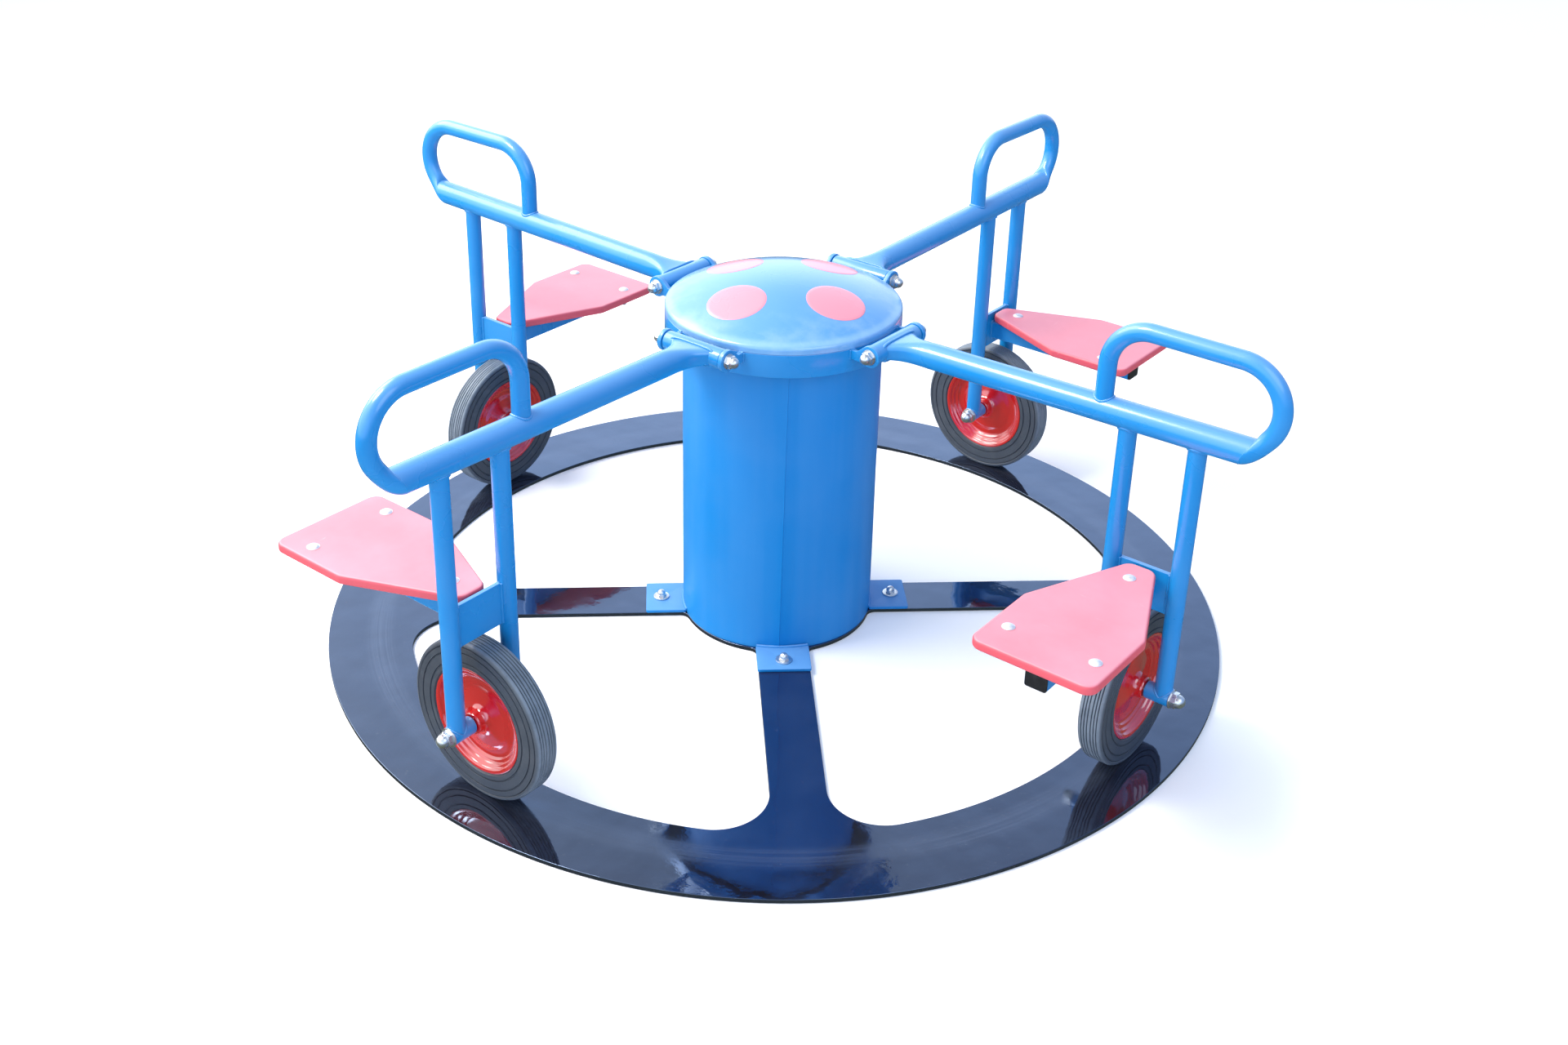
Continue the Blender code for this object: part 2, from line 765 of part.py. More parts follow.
def wheel_rim():
    """The pressed rim: a lipped barrel, a dished disc and a hub with its bore."""
    barrel, bore = RIM_SEAT - RIM_WALL, AXLE_RADIUS + GAP
    upper = [
        (bore, HUB_HALF),
        (HUB_RADIUS, HUB_HALF),
        (HUB_RADIUS, DISC_HUB_HALF),
        (barrel, DISC_HALF),
        (barrel, RIM_HALF),
        (RIM_EDGE, RIM_HALF),
        (RIM_EDGE, RIM_HALF - LIP_THICK),
        (RIM_SEAT, RIM_HALF - LIP_THICK),
    ]
    lower = [(radius, -height) for radius, height in reversed(upper)]
    return lay_along_x(turned("wheel_rim_1", upper + lower, WHEEL_SIDES))


# Assembly.


def empty(name, location, parent=None, angle=0.0):
    """An empty on a joint's axis."""
    obj = place(name, None)
    obj.empty_display_size = 0.05
    if parent:
        obj.parent = parent
    obj.location = location
    obj.rotation_euler.z = angle
    bpy.context.view_layer.update()
    return obj


def copy_piece(obj, name, parent):
    """A copy of a piece of arm 1 on another arm, sharing its mesh."""
    twin = obj.copy()
    twin.name = name
    COLLECTION.objects.link(twin)
    twin.parent = parent
    twin.matrix_parent_inverse = obj.matrix_parent_inverse
    return twin


def build_base():
    base = empty("base", (0, 0, 0))
    finish(track_plate(), "black_paint", base)
    finish(pedestal_drum(), "blue_paint", base)
    finish(spindle(), "steel", base)
    for index, angle in enumerate(quarter_turns(PARKED_TURN), 1):
        finish(foot_bolt(index, angle), "zinc", base)


def build_head():
    head = empty("head_axis", (0, 0, 0))
    finish(bearing("lower_bearing", LOWER_BEARING_Z), "steel", head)
    finish(bearing("upper_bearing", UPPER_BEARING_Z), "steel", head)
    finish(head_hub(), "steel", head)
    finish(head_ring(), "blue_paint", head)
    finish(dome_lid(), "blue_paint", head)
    return head


def build_arms(head):
    """Arm 1 from its pieces, then a copy of each piece for every other arm."""
    turns = [empty(f"arm_{i + 1}", (0, 0, 0), head, a) for i, a in enumerate(quarter_turns())]
    pivots = [
        empty(f"arm_{i + 1}_pivot", (PIVOT_R, 0, up(PIVOT_Z)), turn)
        for i, turn in enumerate(turns)
    ]
    wheel_place = (WHEEL_R - PIVOT_R, 0, WHEEL_RADIUS - PIVOT_Z)
    wheels = [
        empty(f"wheel_{i + 1}_axis", wheel_place, pivot) for i, pivot in enumerate(pivots)
    ]
    pieces = [
        (pivot_pin(), "zinc", turns),
        (swing_arm(), "blue_paint", pivots),
        (grab_handle(), "blue_paint", pivots),
        (leg("inner_leg_1", -1), "blue_paint", pivots),
        (leg("outer_leg_1", 1), "blue_paint", pivots),
        (bridge_plate(), "blue_paint", pivots),
        (seat_bearer(), "blue_paint", pivots),
        (bearer_plug(), "black_plastic", pivots),
        (seat_board(), "seat_board", pivots),
        (wheel_axle(), "zinc", pivots),
        (tyre(), "rubber", wheels),
        (wheel_rim(), "red_paint", wheels),
    ]
    for piece, material, parents in pieces:
        finish(piece, material, parents[0])
        for index in range(1, ARMS):
            name = piece.name.replace("_1", f"_{index + 1}")
            copy_piece(piece, name, parents[index])


clear_scene()
COLLECTION = bpy.data.collections.new("merry_go_round")
bpy.context.scene.collection.children.link(COLLECTION)
MATERIALS = {name: make_material(name) for name in COLOURS}
build_base()
build_arms(build_head())
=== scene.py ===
"""Looks of the playground merry-go-round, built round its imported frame.

Metres, +Z up, in the frame's own axes: arm 1 lies along +X and the spindle along Z.
One arm's pieces are made along +X, and the other three arms take turned copies.
"""

import json
import math

import bmesh
import bpy
from mathutils import Matrix, Vector, noise
from mathutils.geometry import tessellate_polygon


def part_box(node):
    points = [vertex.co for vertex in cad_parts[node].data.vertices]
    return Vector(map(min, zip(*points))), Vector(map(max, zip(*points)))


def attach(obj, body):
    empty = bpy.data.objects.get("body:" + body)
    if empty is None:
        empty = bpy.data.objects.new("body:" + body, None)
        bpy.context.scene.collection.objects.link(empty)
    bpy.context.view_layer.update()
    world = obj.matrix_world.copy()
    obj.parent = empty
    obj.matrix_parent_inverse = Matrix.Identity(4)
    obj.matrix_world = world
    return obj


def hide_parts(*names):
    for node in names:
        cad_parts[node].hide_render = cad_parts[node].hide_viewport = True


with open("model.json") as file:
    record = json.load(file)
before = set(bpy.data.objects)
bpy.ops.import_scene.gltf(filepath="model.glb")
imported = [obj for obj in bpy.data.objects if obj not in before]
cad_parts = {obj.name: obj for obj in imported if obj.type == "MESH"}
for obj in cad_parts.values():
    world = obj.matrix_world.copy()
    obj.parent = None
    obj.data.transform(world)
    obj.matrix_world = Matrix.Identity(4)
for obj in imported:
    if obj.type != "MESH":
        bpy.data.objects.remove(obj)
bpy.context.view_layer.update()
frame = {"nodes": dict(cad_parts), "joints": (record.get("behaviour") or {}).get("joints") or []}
TAU = math.tau
QUARTER = math.pi / 2
OUT, ACROSS, UP = Vector((1, 0, 0)), Vector((0, 1, 0)), Vector((0, 0, 1))
TUBE_STEPS = 64

# Places that the frame gives.
PIVOT = Vector(next(j["pos_m"] for j in frame["joints"] if j["name"] == "arm_1_pivot"))
AXLE = (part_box("tyre_1")[0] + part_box("tyre_1")[1]) / 2
TRACK_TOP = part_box("track_plate")[1].z
TRACK_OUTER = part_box("track_plate")[1].x
DRUM_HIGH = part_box("pedestal_drum")[1].z
DRUM_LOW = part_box("pedestal_drum")[0].z
LID_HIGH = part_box("dome_lid")[1].z
HEAD_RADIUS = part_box("dome_lid")[1].x
SEAT_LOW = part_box("seat_board_1")[0].z
SEAT_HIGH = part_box("seat_board_1")[1].z
STRAP_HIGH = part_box("seat_bearer_1")[1].z
BEARER_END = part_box("seat_bearer_1")[0].y
BRIDGE_LOW, BRIDGE_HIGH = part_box("bridge_plate_1")
HANDLE_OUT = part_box("grab_handle_1")[1].x
HANDLE_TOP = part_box("grab_handle_1")[1].z

# Track plate.
SPOKE_TURN = math.radians(41.9)
SPOKE_WIDTH = 0.1
TRACK_INNER = 0.737
CENTRE_DISC = 0.192
RIM_FILLET = 0.095
CENTRE_FILLET = 0.02
PLATE_EDGE = 0.0008

# Drum and its feet.
DRUM_RADIUS = 0.192
DRUM_WALL = 0.004
SEAM_TURN = math.radians(-48.4)
SEAM_DIP = 0.003
SEAM_REACH = math.radians(15)
SEAM_STEP = 0.0014
SEAM_LEAN = math.radians(-1.6)
FOOT_REACH = 0.267
FOOT_WIDTH = 0.104
FOOT_THICK = 0.006
FOOT_BOLT_AT = 0.236
TOP_RING_HOLE = 0.062
TOP_RING_THICK = 0.006

# Head.
SKIRT_WALL = 0.005
SKIRT_LOW = 0.612
SKIRT_HIGH = 0.6566
LID_SLOPE = math.radians(26.0)
LID_ROUND = 0.009
LID_THICK = 0.003
SPOT_AT = 0.13
SPOT_RADIUS = 0.0565
SPOT_TURN = math.radians(-4.5)
SPOT_THICK = 0.0004
LUG_NEAR = 0.067
LUG_FAR = 0.076
LUG_RADIUS = 0.0205
LUG_BELOW = 0.0155
LUG_SHOULDER = math.radians(134)
SLEEVE_RADIUS = 0.0185
SLEEVE_HALF = 0.0655

# Arm, handle and fork.
ARM_RADIUS = 0.02415
ARM_END = Vector((0.9435, 0.0, 0.668))
MITRE = math.radians(25)
FLARE_LENGTH = 0.085
FLARE_HALF = 0.05
FLARE_TALL = 0.016
TUBE_RADIUS = 0.016
HANDLE_BEND = 0.076
HANDLE_INNER = 0.683
RAIL_TURN = math.radians(-36)
LEG_SPREAD = 0.0635
BOSS_INNER = 0.033

# Seat and its bearer.
# The board's half widths, each with its distance along Y, from nose to rear.
SEAT_OUTLINE = ((0.026, -0.01), (0.1125, -0.215), (0.1125, -0.388))
SEAT_MIDDLE = 0.796
SEAT_CORNER = 0.022
SEAT_EDGE = 0.0055
BEARER_SIDE = 0.04
BEARER_WALL = 0.003
STRAP_THICK = 0.005
STRAP_HALF = 0.1
STRAP_HALF_WIDTH = 0.02
STRAP_AT = -0.32
SEAT_BOLTS = ((0.0, -0.06), (-0.079, STRAP_AT), (0.079, STRAP_AT))

# Holes, shafts and the sizes of weld beads. HAIR parts pieces that would touch.
PIVOT_HOLE, PIVOT_SHAFT = 0.0083, 0.0077
AXLE_HOLE, AXLE_SHAFT = 0.0103, 0.0097
FOOT_SHAFT = 0.0055
HAIR = 0.0003
WELD_PITCH = 0.0034
FOOT_WELD, FLARE_WELD = 0.0032, 0.003
WELD, LUG_WELD, SMALL_WELD, SEAM_WELD = 0.0026, 0.0024, 0.002, 0.0016

# Wheel.
TYRE_RADIUS = 0.15
TYRE_HALF = 0.023
RIM_RADIUS = 0.1


# Shapes. A part is (points, faces), and a piece joins parts into one object.


def skin(rings, loop=False, cap_start=False, cap_end=False):
    """A surface through rings of points. A ring of one point is a pole."""
    points, starts, faces = [], [], []
    for ring in rings:
        starts.append(len(points))
        points += [Vector(point) for point in ring]
    pairs = list(zip(range(len(rings) - 1), range(1, len(rings))))
    if loop:
        pairs.append((len(rings) - 1, 0))
    for a, b in pairs:
        na, nb = len(rings[a]), len(rings[b])
        for i in range(max(na, nb)):
            j = (i + 1) % max(na, nb)
            corners = [starts[a] + i % na, starts[a] + j % na]
            corners += [starts[b] + j % nb, starts[b] + i % nb]
            faces.append(list(dict.fromkeys(corners)))
    if cap_start:
        faces.append([starts[0] + i for i in reversed(range(len(rings[0])))])
    if cap_end:
        faces.append([starts[-1] + i for i in range(len(rings[-1]))])
    return points, faces


def about(axis, angle):
    return Matrix.Rotation(angle, 4, axis)


def shift(*by):
    return Matrix.Translation(by)


def moved(part, matrix):
    points, faces = part
    return [matrix @ point for point in points], faces


def turns(steps):
    """The cosine and sine of each equal turn round a circle."""
    return [(math.cos(TAU * i / steps), math.sin(TAU * i / steps)) for i in range(steps)]


def circle(radius, height, steps):
    if radius == 0:
        return [Vector((0, 0, height))]
    return [Vector((radius * c, radius * s, height)) for c, s in turns(steps)]


def turned(profile, steps=96, closed=True):
    """A profile of (radius, height) points turned about Z."""
    return skin([circle(radius, height, steps) for radius, height in profile], loop=closed)


def arc(centre, radius, start, end, steps):
    """Points of an arc in a plane, both ends included."""
    angles = [start + (end - start) * i / steps for i in range(steps + 1)]
    return [
        Vector((centre[0] + radius * math.cos(a), centre[1] + radius * math.sin(a)))
        for a in angles
    ]


def sweep(path, radii, sides=32, closed=False, side_hint=None):
    """A round tube along a path. side_hint is a direction across it, if not the middle's."""
    count = len(path)
    middle = sum(path, Vector()) / count
    rings = []
    for i, point in enumerate(path):
        before = path[i - 1] if i or closed else point
        after = path[(i + 1) % count] if i < count - 1 or closed else point
        along = (after - before).normalized()
        hint = side_hint or (point - middle)
        side = (hint - hint.dot(along) * along).normalized()
        other = along.cross(side)
        radius = radii[i] if isinstance(radii, list) else radii
        rings.append([point + radius * (c * side + s * other) for c, s in turns(sides)])
    return skin(rings, loop=closed, cap_start=not closed, cap_end=not closed)


def resampled(path, step, closed):
    """Points about a step apart along a path."""
    ends = path + [path[0]] if closed else path
    lengths = [0.0]
    for a, b in zip(ends, ends[1:]):
        lengths.append(lengths[-1] + (b - a).length)
    count = max(4, round(lengths[-1] / step))
    result, k = [], 0
    for i in range(count if closed else count + 1):
        at = lengths[-1] * i / count
        while k < len(lengths) - 2 and lengths[k + 1] < at:
            k += 1
        span = lengths[k + 1] - lengths[k]
        result.append(ends[k].lerp(ends[k + 1], (at - lengths[k]) / span if span else 0.0))
    return result


def rod(radius, low, high, steps):
    """A solid round bar on Z."""
    return turned([(0, low), (radius, low), (radius, high), (0, high)], steps, False)


def bead(path, size, closed=False, side_hint=None):
    """A rippled weld bead along a path."""
    points = resampled(path, WELD_PITCH / 4, closed)
    radii = []
    for i, point in enumerate(points):
        ripple = 0.07 * math.sin(QUARTER * i)
        uneven = 0.1 * noise.noise(point * 90)
        radii.append(size * (1 + ripple + uneven))
    if not closed:
        radii[0] = radii[-1] = size * 0.4
    return sweep(points, radii, 12, closed, side_hint)


def crossing(start, direction, radius, other_start, other_direction, other_radius):
    """Where a tube from start first meets another tube's outside."""
    along = direction.normalized()
    other_along = other_direction.normalized()
    side = along.orthogonal().normalized()
    up = along.cross(side)
    flat = along - along.dot(other_along) * other_along
    points = []
    for c, s in turns(TUBE_STEPS):
        foot = start + radius * (c * side + s * up)
        gap = foot - other_start
        gap -= gap.dot(other_along) * other_along
        a, b = flat.dot(flat), gap.dot(flat)
        excess = gap.dot(gap) - other_radius**2
        points.append(foot + along * (-b - math.sqrt(max(b * b - a * excess, 0.0))) / a)
    return points


def signed_area(loop):
    return sum(a.x * b.y - b.x * a.y for a, b in zip(loop, loop[1:] + loop[:1])) / 2


def inset(loop, distance):
    """A loop moved into the material, which lies on its left."""
    result = []
    for i, point in enumerate(loop):
        a = (point - loop[i - 1]).normalized()
        b = (loop[(i + 1) % len(loop)] - point).normalized()
        left = Vector((-a.y, a.x))
        normal = Vector((-a.y - b.y, a.x + b.x)).normalized()
        result.append(point + normal * distance / max(normal.dot(left), 0.3))
    return result


def slab(loops, low, high, edge, steps=4):
    """A flat plate with rounded edges: the first outline outside, the others holes."""
    points, faces, first, last, flat = [], [], [], [], []
    bends = [QUARTER * k / steps for k in range(steps + 1)]
    levels = [(edge * (1 - math.sin(a)), low + edge * (1 - math.cos(a))) for a in bends]
    levels += [(depth, low + high - z) for depth, z in reversed(levels)]
    for index, loop in enumerate(loops):
        loop = [Vector(point) for point in loop]
        if (signed_area(loop) > 0) != (index == 0):
            loop.reverse()
        rings = [[(*p, z) for p in inset(loop, depth)] for depth, z in levels]
        part_points, part_faces = skin(rings)
        base = len(points)
        points += part_points
        faces += [[base + i for i in face] for face in part_faces]
        first += range(base, base + len(loop))
        last += range(len(points) - len(loop), len(points))
        flat.append([Vector(p) for p in rings[-1]])
    for triangle in tessellate_polygon(flat):
        faces.append([last[i] for i in triangle])
        faces.append([first[i] for i in reversed(triangle)])
    return points, faces


def rounded(corners, radius, steps=8):
    """The corners of a convex outline, each replaced by an arc."""
    points = []
    count = len(corners)
    for i, corner in enumerate(corners):
        here = Vector(corner)
        before = (Vector(corners[i - 1]) - here).normalized()
        after = (Vector(corners[(i + 1) % count]) - here).normalized()
        half = before.angle(after) / 2
        centre = here + (before + after).normalized() * radius / math.sin(half)
        first = here + before * radius / math.tan(half) - centre
        last = here + after * radius / math.tan(half) - centre
        start, end = math.atan2(first.y, first.x), math.atan2(last.y, last.x)
        points += arc(centre, radius, start, start + math.remainder(end - start, TAU), steps)
    return points


def rectangle(low, high):
    return [(low[0], low[1]), (high[0], low[1]), (high[0], high[1]), (low[0], high[1])]


def block(low, high, radius, steps):
    """A rectangle with rounded corners."""
    return rounded(rectangle(low, high), radius, steps)


def disc_points(radius, centre=(0, 0), steps=48):
    return arc(centre, radius, 0, TAU, steps)[:-1]


# Stands a flat drawing up on the XZ plane, so that its height runs towards -Y.
ALONG_Y = Matrix(((1, 0, 0, 0), (0, 0, -1, 0), (0, 1, 0, 0), (0, 0, 0, 1)))
# Lay a part made along Z on the pivot's line or on the axle's.
ON_PIVOT = shift(*PIVOT) @ about("X", QUARTER)
ON_AXLE = shift(*AXLE) @ about("Y", QUARTER)


def dome_nut(radius, height_share=0.75):
    """A hexagon dome nut on Z from 0, with chamfered corners. The radius is to its corners."""
    apothem = radius * math.cos(math.pi / 6)
    height = radius * height_share
    rings = []
    for share, reach in ((0, 0.92), (0.1, 1.0), (0.86, 1.0), (0.96, 0.92), (1.0, 0.86)):
        ring = []
        for i in range(60):
            angle = TAU * i / 60
            flat = apothem / math.cos((angle % (TAU / 6)) - TAU / 12)
            ring.append(Vector((math.cos(angle), math.sin(angle), 0)) * min(flat, radius * reach))
            ring[-1].z = height * share
        rings.append(ring)
    dome = radius * 0.8
    rings.append(circle(dome, height, 60))
    for a in (0.0, 15, 30, 45, 60, 75, 90):
        angle = math.radians(a)
        wide = dome * math.cos(angle) if a < 90 else 0
        rings.append(circle(wide, height + radius * (0.12 + 0.78 * math.sin(angle)), 60))
    return skin(rings, cap_start=True)


def washer(outer, inner, thick):
    return turned(block((inner, 0), (outer, thick), thick * 0.3, 2), 48)


def mesh_of(name, parts, material, sharp):
    """One mesh of several parts, its faces turned outwards."""
    points, faces = [], []
    for part_points, part_faces in parts:
        base = len(points)
        points += part_points
        faces += [[base + i for i in face] for face in part_faces]
    mesh = bpy.data.meshes.new(name)
    mesh.from_pydata([tuple(p) for p in points], [], faces)
    shape = bmesh.new()
    shape.from_mesh(mesh)
    bmesh.ops.recalc_face_normals(shape, faces=shape.faces)
    shape.to_mesh(mesh)
    shape.free()
    mesh.materials.append(material)
    mesh.shade_smooth()
    mesh.set_sharp_from_angle(angle=math.radians(sharp))
    return mesh


def add(name, data):
    obj = bpy.data.objects.new(name, data)
    bpy.context.scene.collection.objects.link(obj)
    return obj


def place(name, mesh, body, slot, nodes=(), turn=0.0, flat_sides=False):
    """An object of a mesh, turned about Z, that rides on a body and stands for CAD nodes."""
    obj = add(name, mesh)
    obj.matrix_world = about("Z", turn)
    if flat_sides:
        weighted = obj.modifiers.new("flat sides", "WEIGHTED_NORMAL")
        weighted.keep_sharp = True
        weighted.weight = 100
    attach(obj, body)
    if nodes:
        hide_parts(*nodes)
    return obj


def piece(name, parts, material, body, slot, nodes=(), sharp=35, flat_sides=False):
    mesh = mesh_of(name, parts, material, sharp)
    return place(name, mesh, body, slot, nodes, flat_sides=flat_sides)


def on_each_arm(name, parts, material, body, slot, node=None, sharp=35, flat_sides=False):
    """The same piece on all four arms. body and node are names without their number."""
    mesh = mesh_of(name, parts, material, sharp)
    for k in range(4):
        number = k + 1
        rides = body if body == "head" else f"{body}_{number}"
        nodes = (f"{node}_{number}",) if node else ()
        place(f"{name}_{number}", mesh, rides, slot, nodes, k * QUARTER, flat_sides)


# Materials.


def new_material(name):
    material = bpy.data.materials.new(name)
    material.use_nodes = True
    return material, material.node_tree, material.node_tree.nodes["Principled BSDF"]


def node(tree, kind, inputs=None, **settings):
    """A shader node, its kind given without ShaderNode. Sockets are linked, the rest set."""
    made = tree.nodes.new("ShaderNode" + kind)
    for name, value in settings.items():
        setattr(made, name, value)
    for key, value in (inputs or {}).items():
        if isinstance(value, bpy.types.NodeSocket):
            tree.links.new(value, made.inputs[key])
        else:
            made.inputs[key].default_value = value
    return made


def result(tree, kind, inputs=None, **settings):
    """The first output of a new shader node."""
    return node(tree, kind, inputs, **settings).outputs[0]


def link(shader, **inputs):
    """Links or sets inputs of the shader. Base_Color stands for Base Color."""
    for key, value in inputs.items():
        socket = shader.inputs[key.replace("_", " ")]
        if isinstance(value, bpy.types.NodeSocket):
            shader.id_data.links.new(value, socket)
        else:
            socket.default_value = value


def own_place(tree):
    """The point in the object's own coordinates."""
    return node(tree, "TexCoord").outputs["Object"]


def places(tree):
    """Object coordinates, shifted by a different amount on each object."""
    offset = times(node(tree, "ObjectInfo").outputs["Random"], 9.0)
    return result(tree, "VectorMath", {0: own_place(tree), 1: offset}, operation="ADD")


def cloud(where, scale, detail=3.0, rough=0.5):
    inputs = {"Vector": where, "Scale": scale, "Detail": detail, "Roughness": rough}
    return result(where.id_data, "TexNoise", inputs)


def spread(value, low, high, to_low=0.0, to_high=1.0, smooth=False):
    """The value's range from low to high spread over another range."""
    kind = "SMOOTHSTEP" if smooth else "LINEAR"
    inputs = {0: value, 1: low, 2: high, 3: to_low, 4: to_high}
    return result(value.id_data, "MapRange", inputs, interpolation_type=kind)


def ramp(value, low, high):
    """A smooth rise from 0 to 1 as the value goes from low to high."""
    return spread(value, low, high, smooth=True)


def times(a, b):
    return result(a.id_data, "Math", {0: a, 1: b}, operation="MULTIPLY")


def plus(a, b):
    return result(a.id_data, "Math", {0: a, 1: b})


def mixed(share, first, second):
    """A colour between two colours."""
    tree = share.id_data
    made = node(tree, "Mix", data_type="RGBA")
    for key, value in ((0, share), (6, first), (7, second)):
        if isinstance(value, bpy.types.NodeSocket):
            tree.links.new(value, made.inputs[key])
        elif isinstance(value, tuple):
            made.inputs[key].default_value = (*value, 1.0)
        else:
            made.inputs[key].default_value = value
    return made.outputs[2]


def bumped(height, distance, strength=1.0, under=None):
    inputs = {"Height": height, "Distance": distance, "Strength": strength}
    if under:
        inputs["Normal"] = under
    return result(height.id_data, "Bump", inputs)


def facing_up(tree):
    """How much the surface faces up, from -1 to 1, in the object's own axes."""
    normal = node(tree, "TexCoord").outputs["Normal"]
    return node(tree, "SeparateXYZ", {0: normal}).outputs[2]


def flat_length(first, second):
    """The length of an arrow with these two coordinates."""
    tree = first.id_data
    flat = result(tree, "CombineXYZ", {0: first, 1: second})
    return node(tree, "VectorMath", {0: flat}, operation="LENGTH").outputs["Value"]


def from_axis(tree):
    """How far a point lies from the Z axis."""
    axes = node(tree, "SeparateXYZ", {0: own_place(tree)}).outputs
    return flat_length(axes[0], axes[1])


def gloss_paint(name, deep, paler_top_lit, rough=(0.22, 0.36), coat=0.25, ior=1.5, streaks=0.0, haze_highlight=0.0):
    """Gloss powder coat with orange peel, its up-facing faces mixed towards a paler colour as
    painted light from above.

    streaks adds bands that run down, and the last argument paints a pale bloom and a pale rim on
    the lid as painted highlights.
    """
    material, tree, shader = new_material(name)
    where = places(tree)
    patches = cloud(where, 5.0, 4.0)
    # Painted light from above: faces that point up take the paler colour, and random patches add a
    # little of it.
    share = times(ramp(facing_up(tree), 0.1, 0.95), 0.8)
    share = plus(share, times(ramp(patches, 0.35, 0.75), 0.12))
    if streaks:
        tall = result(tree, "Mapping", {"Vector": where, "Scale": (1.0, 1.0, 0.05)})
        bands = ramp(cloud(tall, 14.0, 3.0, 0.5), 0.35, 0.7)
        share = plus(share, times(bands, streaks))
    colour = mixed(share, deep, paler_top_lit)
    if haze_highlight:
        # Painted highlight: pale hazy patches over the lid's outer part.
        haze_patches = ramp(cloud(where, 9.0, 6.0, 0.65), 0.42, 0.66)
        haze_patches = times(times(ramp(from_axis(tree), 0.09, 0.21), haze_patches), haze_highlight)
        colour = mixed(haze_patches, colour, (0.48, 0.62, 0.78))
        # Painted highlight: a pale band along the lid's rounded rim.
        edge = ramp(from_axis(tree), HEAD_RADIUS - 0.02, HEAD_RADIUS - 0.008)
        colour = mixed(times(edge, 0.3), colour, (0.42, 0.62, 0.78))
    roughness = spread(patches, 0.3, 0.7, *rough)
    normal = bumped(cloud(where, 420.0, 2.0, 0.6), 0.00005, 0.8)
    link(shader, Base_Color=colour, Roughness=roughness, Normal=normal, IOR=ior)
    link(shader, Coat_Weight=coat, Coat_Roughness=0.12, Coat_Normal=normal)
    return material


def plate_paint():
    """Near-black gloss on the track plate, with a dulled rolling line and wavy sheet."""
    material, tree, shader = new_material("black_gloss")
    coordinates = own_place(tree)
    axes = node(tree, "SeparateXYZ", {0: coordinates}).outputs
    radius = from_axis(tree)
    turn = result(tree, "Math", {0: axes[1], 1: axes[0]}, operation="ARCTAN2")
    rings = result(tree, "CombineXYZ", {0: times(radius, 260.0), 1: turn})
    streaks = cloud(rings, 1.6, 4.0, 0.6)
    off_line = result(tree, "Math", {0: radius, 1: AXLE.x}, operation="SUBTRACT")
    off_line = result(tree, "Math", {0: off_line}, operation="ABSOLUTE")
    rolled = spread(off_line, 0.01, 0.034, 1.0, 0.0, True)
    worn = times(rolled, spread(streaks, 0.35, 0.75, 0.15, 1.0))
    dust = spread(cloud(coordinates, 9.0, 6.0, 0.65), 0.45, 0.8)
    specks = spread(cloud(coordinates, 160.0, 3.0, 0.6), 0.66, 0.74)
    colour = mixed(times(dust, 0.3), (0.01, 0.009, 0.013), (0.045, 0.055, 0.075))
    colour = mixed(times(worn, 0.5), colour, (0.085, 0.1, 0.13))
    colour = mixed(times(specks, 0.35), colour, (0.16, 0.16, 0.15))
    roughness = spread(dust, 0.0, 1.0, 0.035, 0.11)
    roughness = plus(roughness, times(worn, 0.14))
    waves = bumped(cloud(coordinates, 7.0, 2.0), 0.003, 0.55)
    normal = bumped(cloud(coordinates, 70.0, 3.0), 0.00012, 0.6, waves)
    link(shader, Base_Color=colour, Roughness=roughness, Normal=normal, IOR=2.8)
    link(shader, Specular_Tint=(0.5, 0.66, 0.97, 1.0))
    return material


def board_material():
    """Solid-colour board, paler on top and redder at its rounded edges, finely grained; the paler
    top is part sun bleaching, part painted light from above.
    """
    material, tree, shader = new_material("seat_board_red")
    where = places(tree)
    patches = cloud(where, 7.0, 4.0, 0.6)
    # Painted light from above, with some sun bleaching: up-facing faces take the paler pink.
    top = ramp(facing_up(tree), 0.55, 0.97)
    bleached_and_top_lit = mixed(spread(patches, 0.35, 0.7), (0.78, 0.23, 0.27), (0.82, 0.28, 0.33))
    colour = mixed(top, (0.66, 0.085, 0.11), bleached_and_top_lit)
    stretched = result(tree, "Mapping", {"Vector": where, "Scale": (0.25, 1.0, 1.0)})
    scuffs = spread(cloud(stretched, 60.0, 7.0, 0.72), 0.64, 0.78)
    colour = mixed(times(scuffs, 0.35), colour, (0.95, 0.62, 0.66))
    grain = cloud(where, 900.0, 2.0, 0.6)
    roughness = spread(patches, 0.3, 0.7, 0.34, 0.48)
    slow = bumped(cloud(where, 30.0, 2.0), 0.0003, 0.5)
    normal = bumped(grain, 0.0001, 0.8, slow)
    link(shader, Base_Color=colour, Roughness=roughness, Normal=normal)
    return material


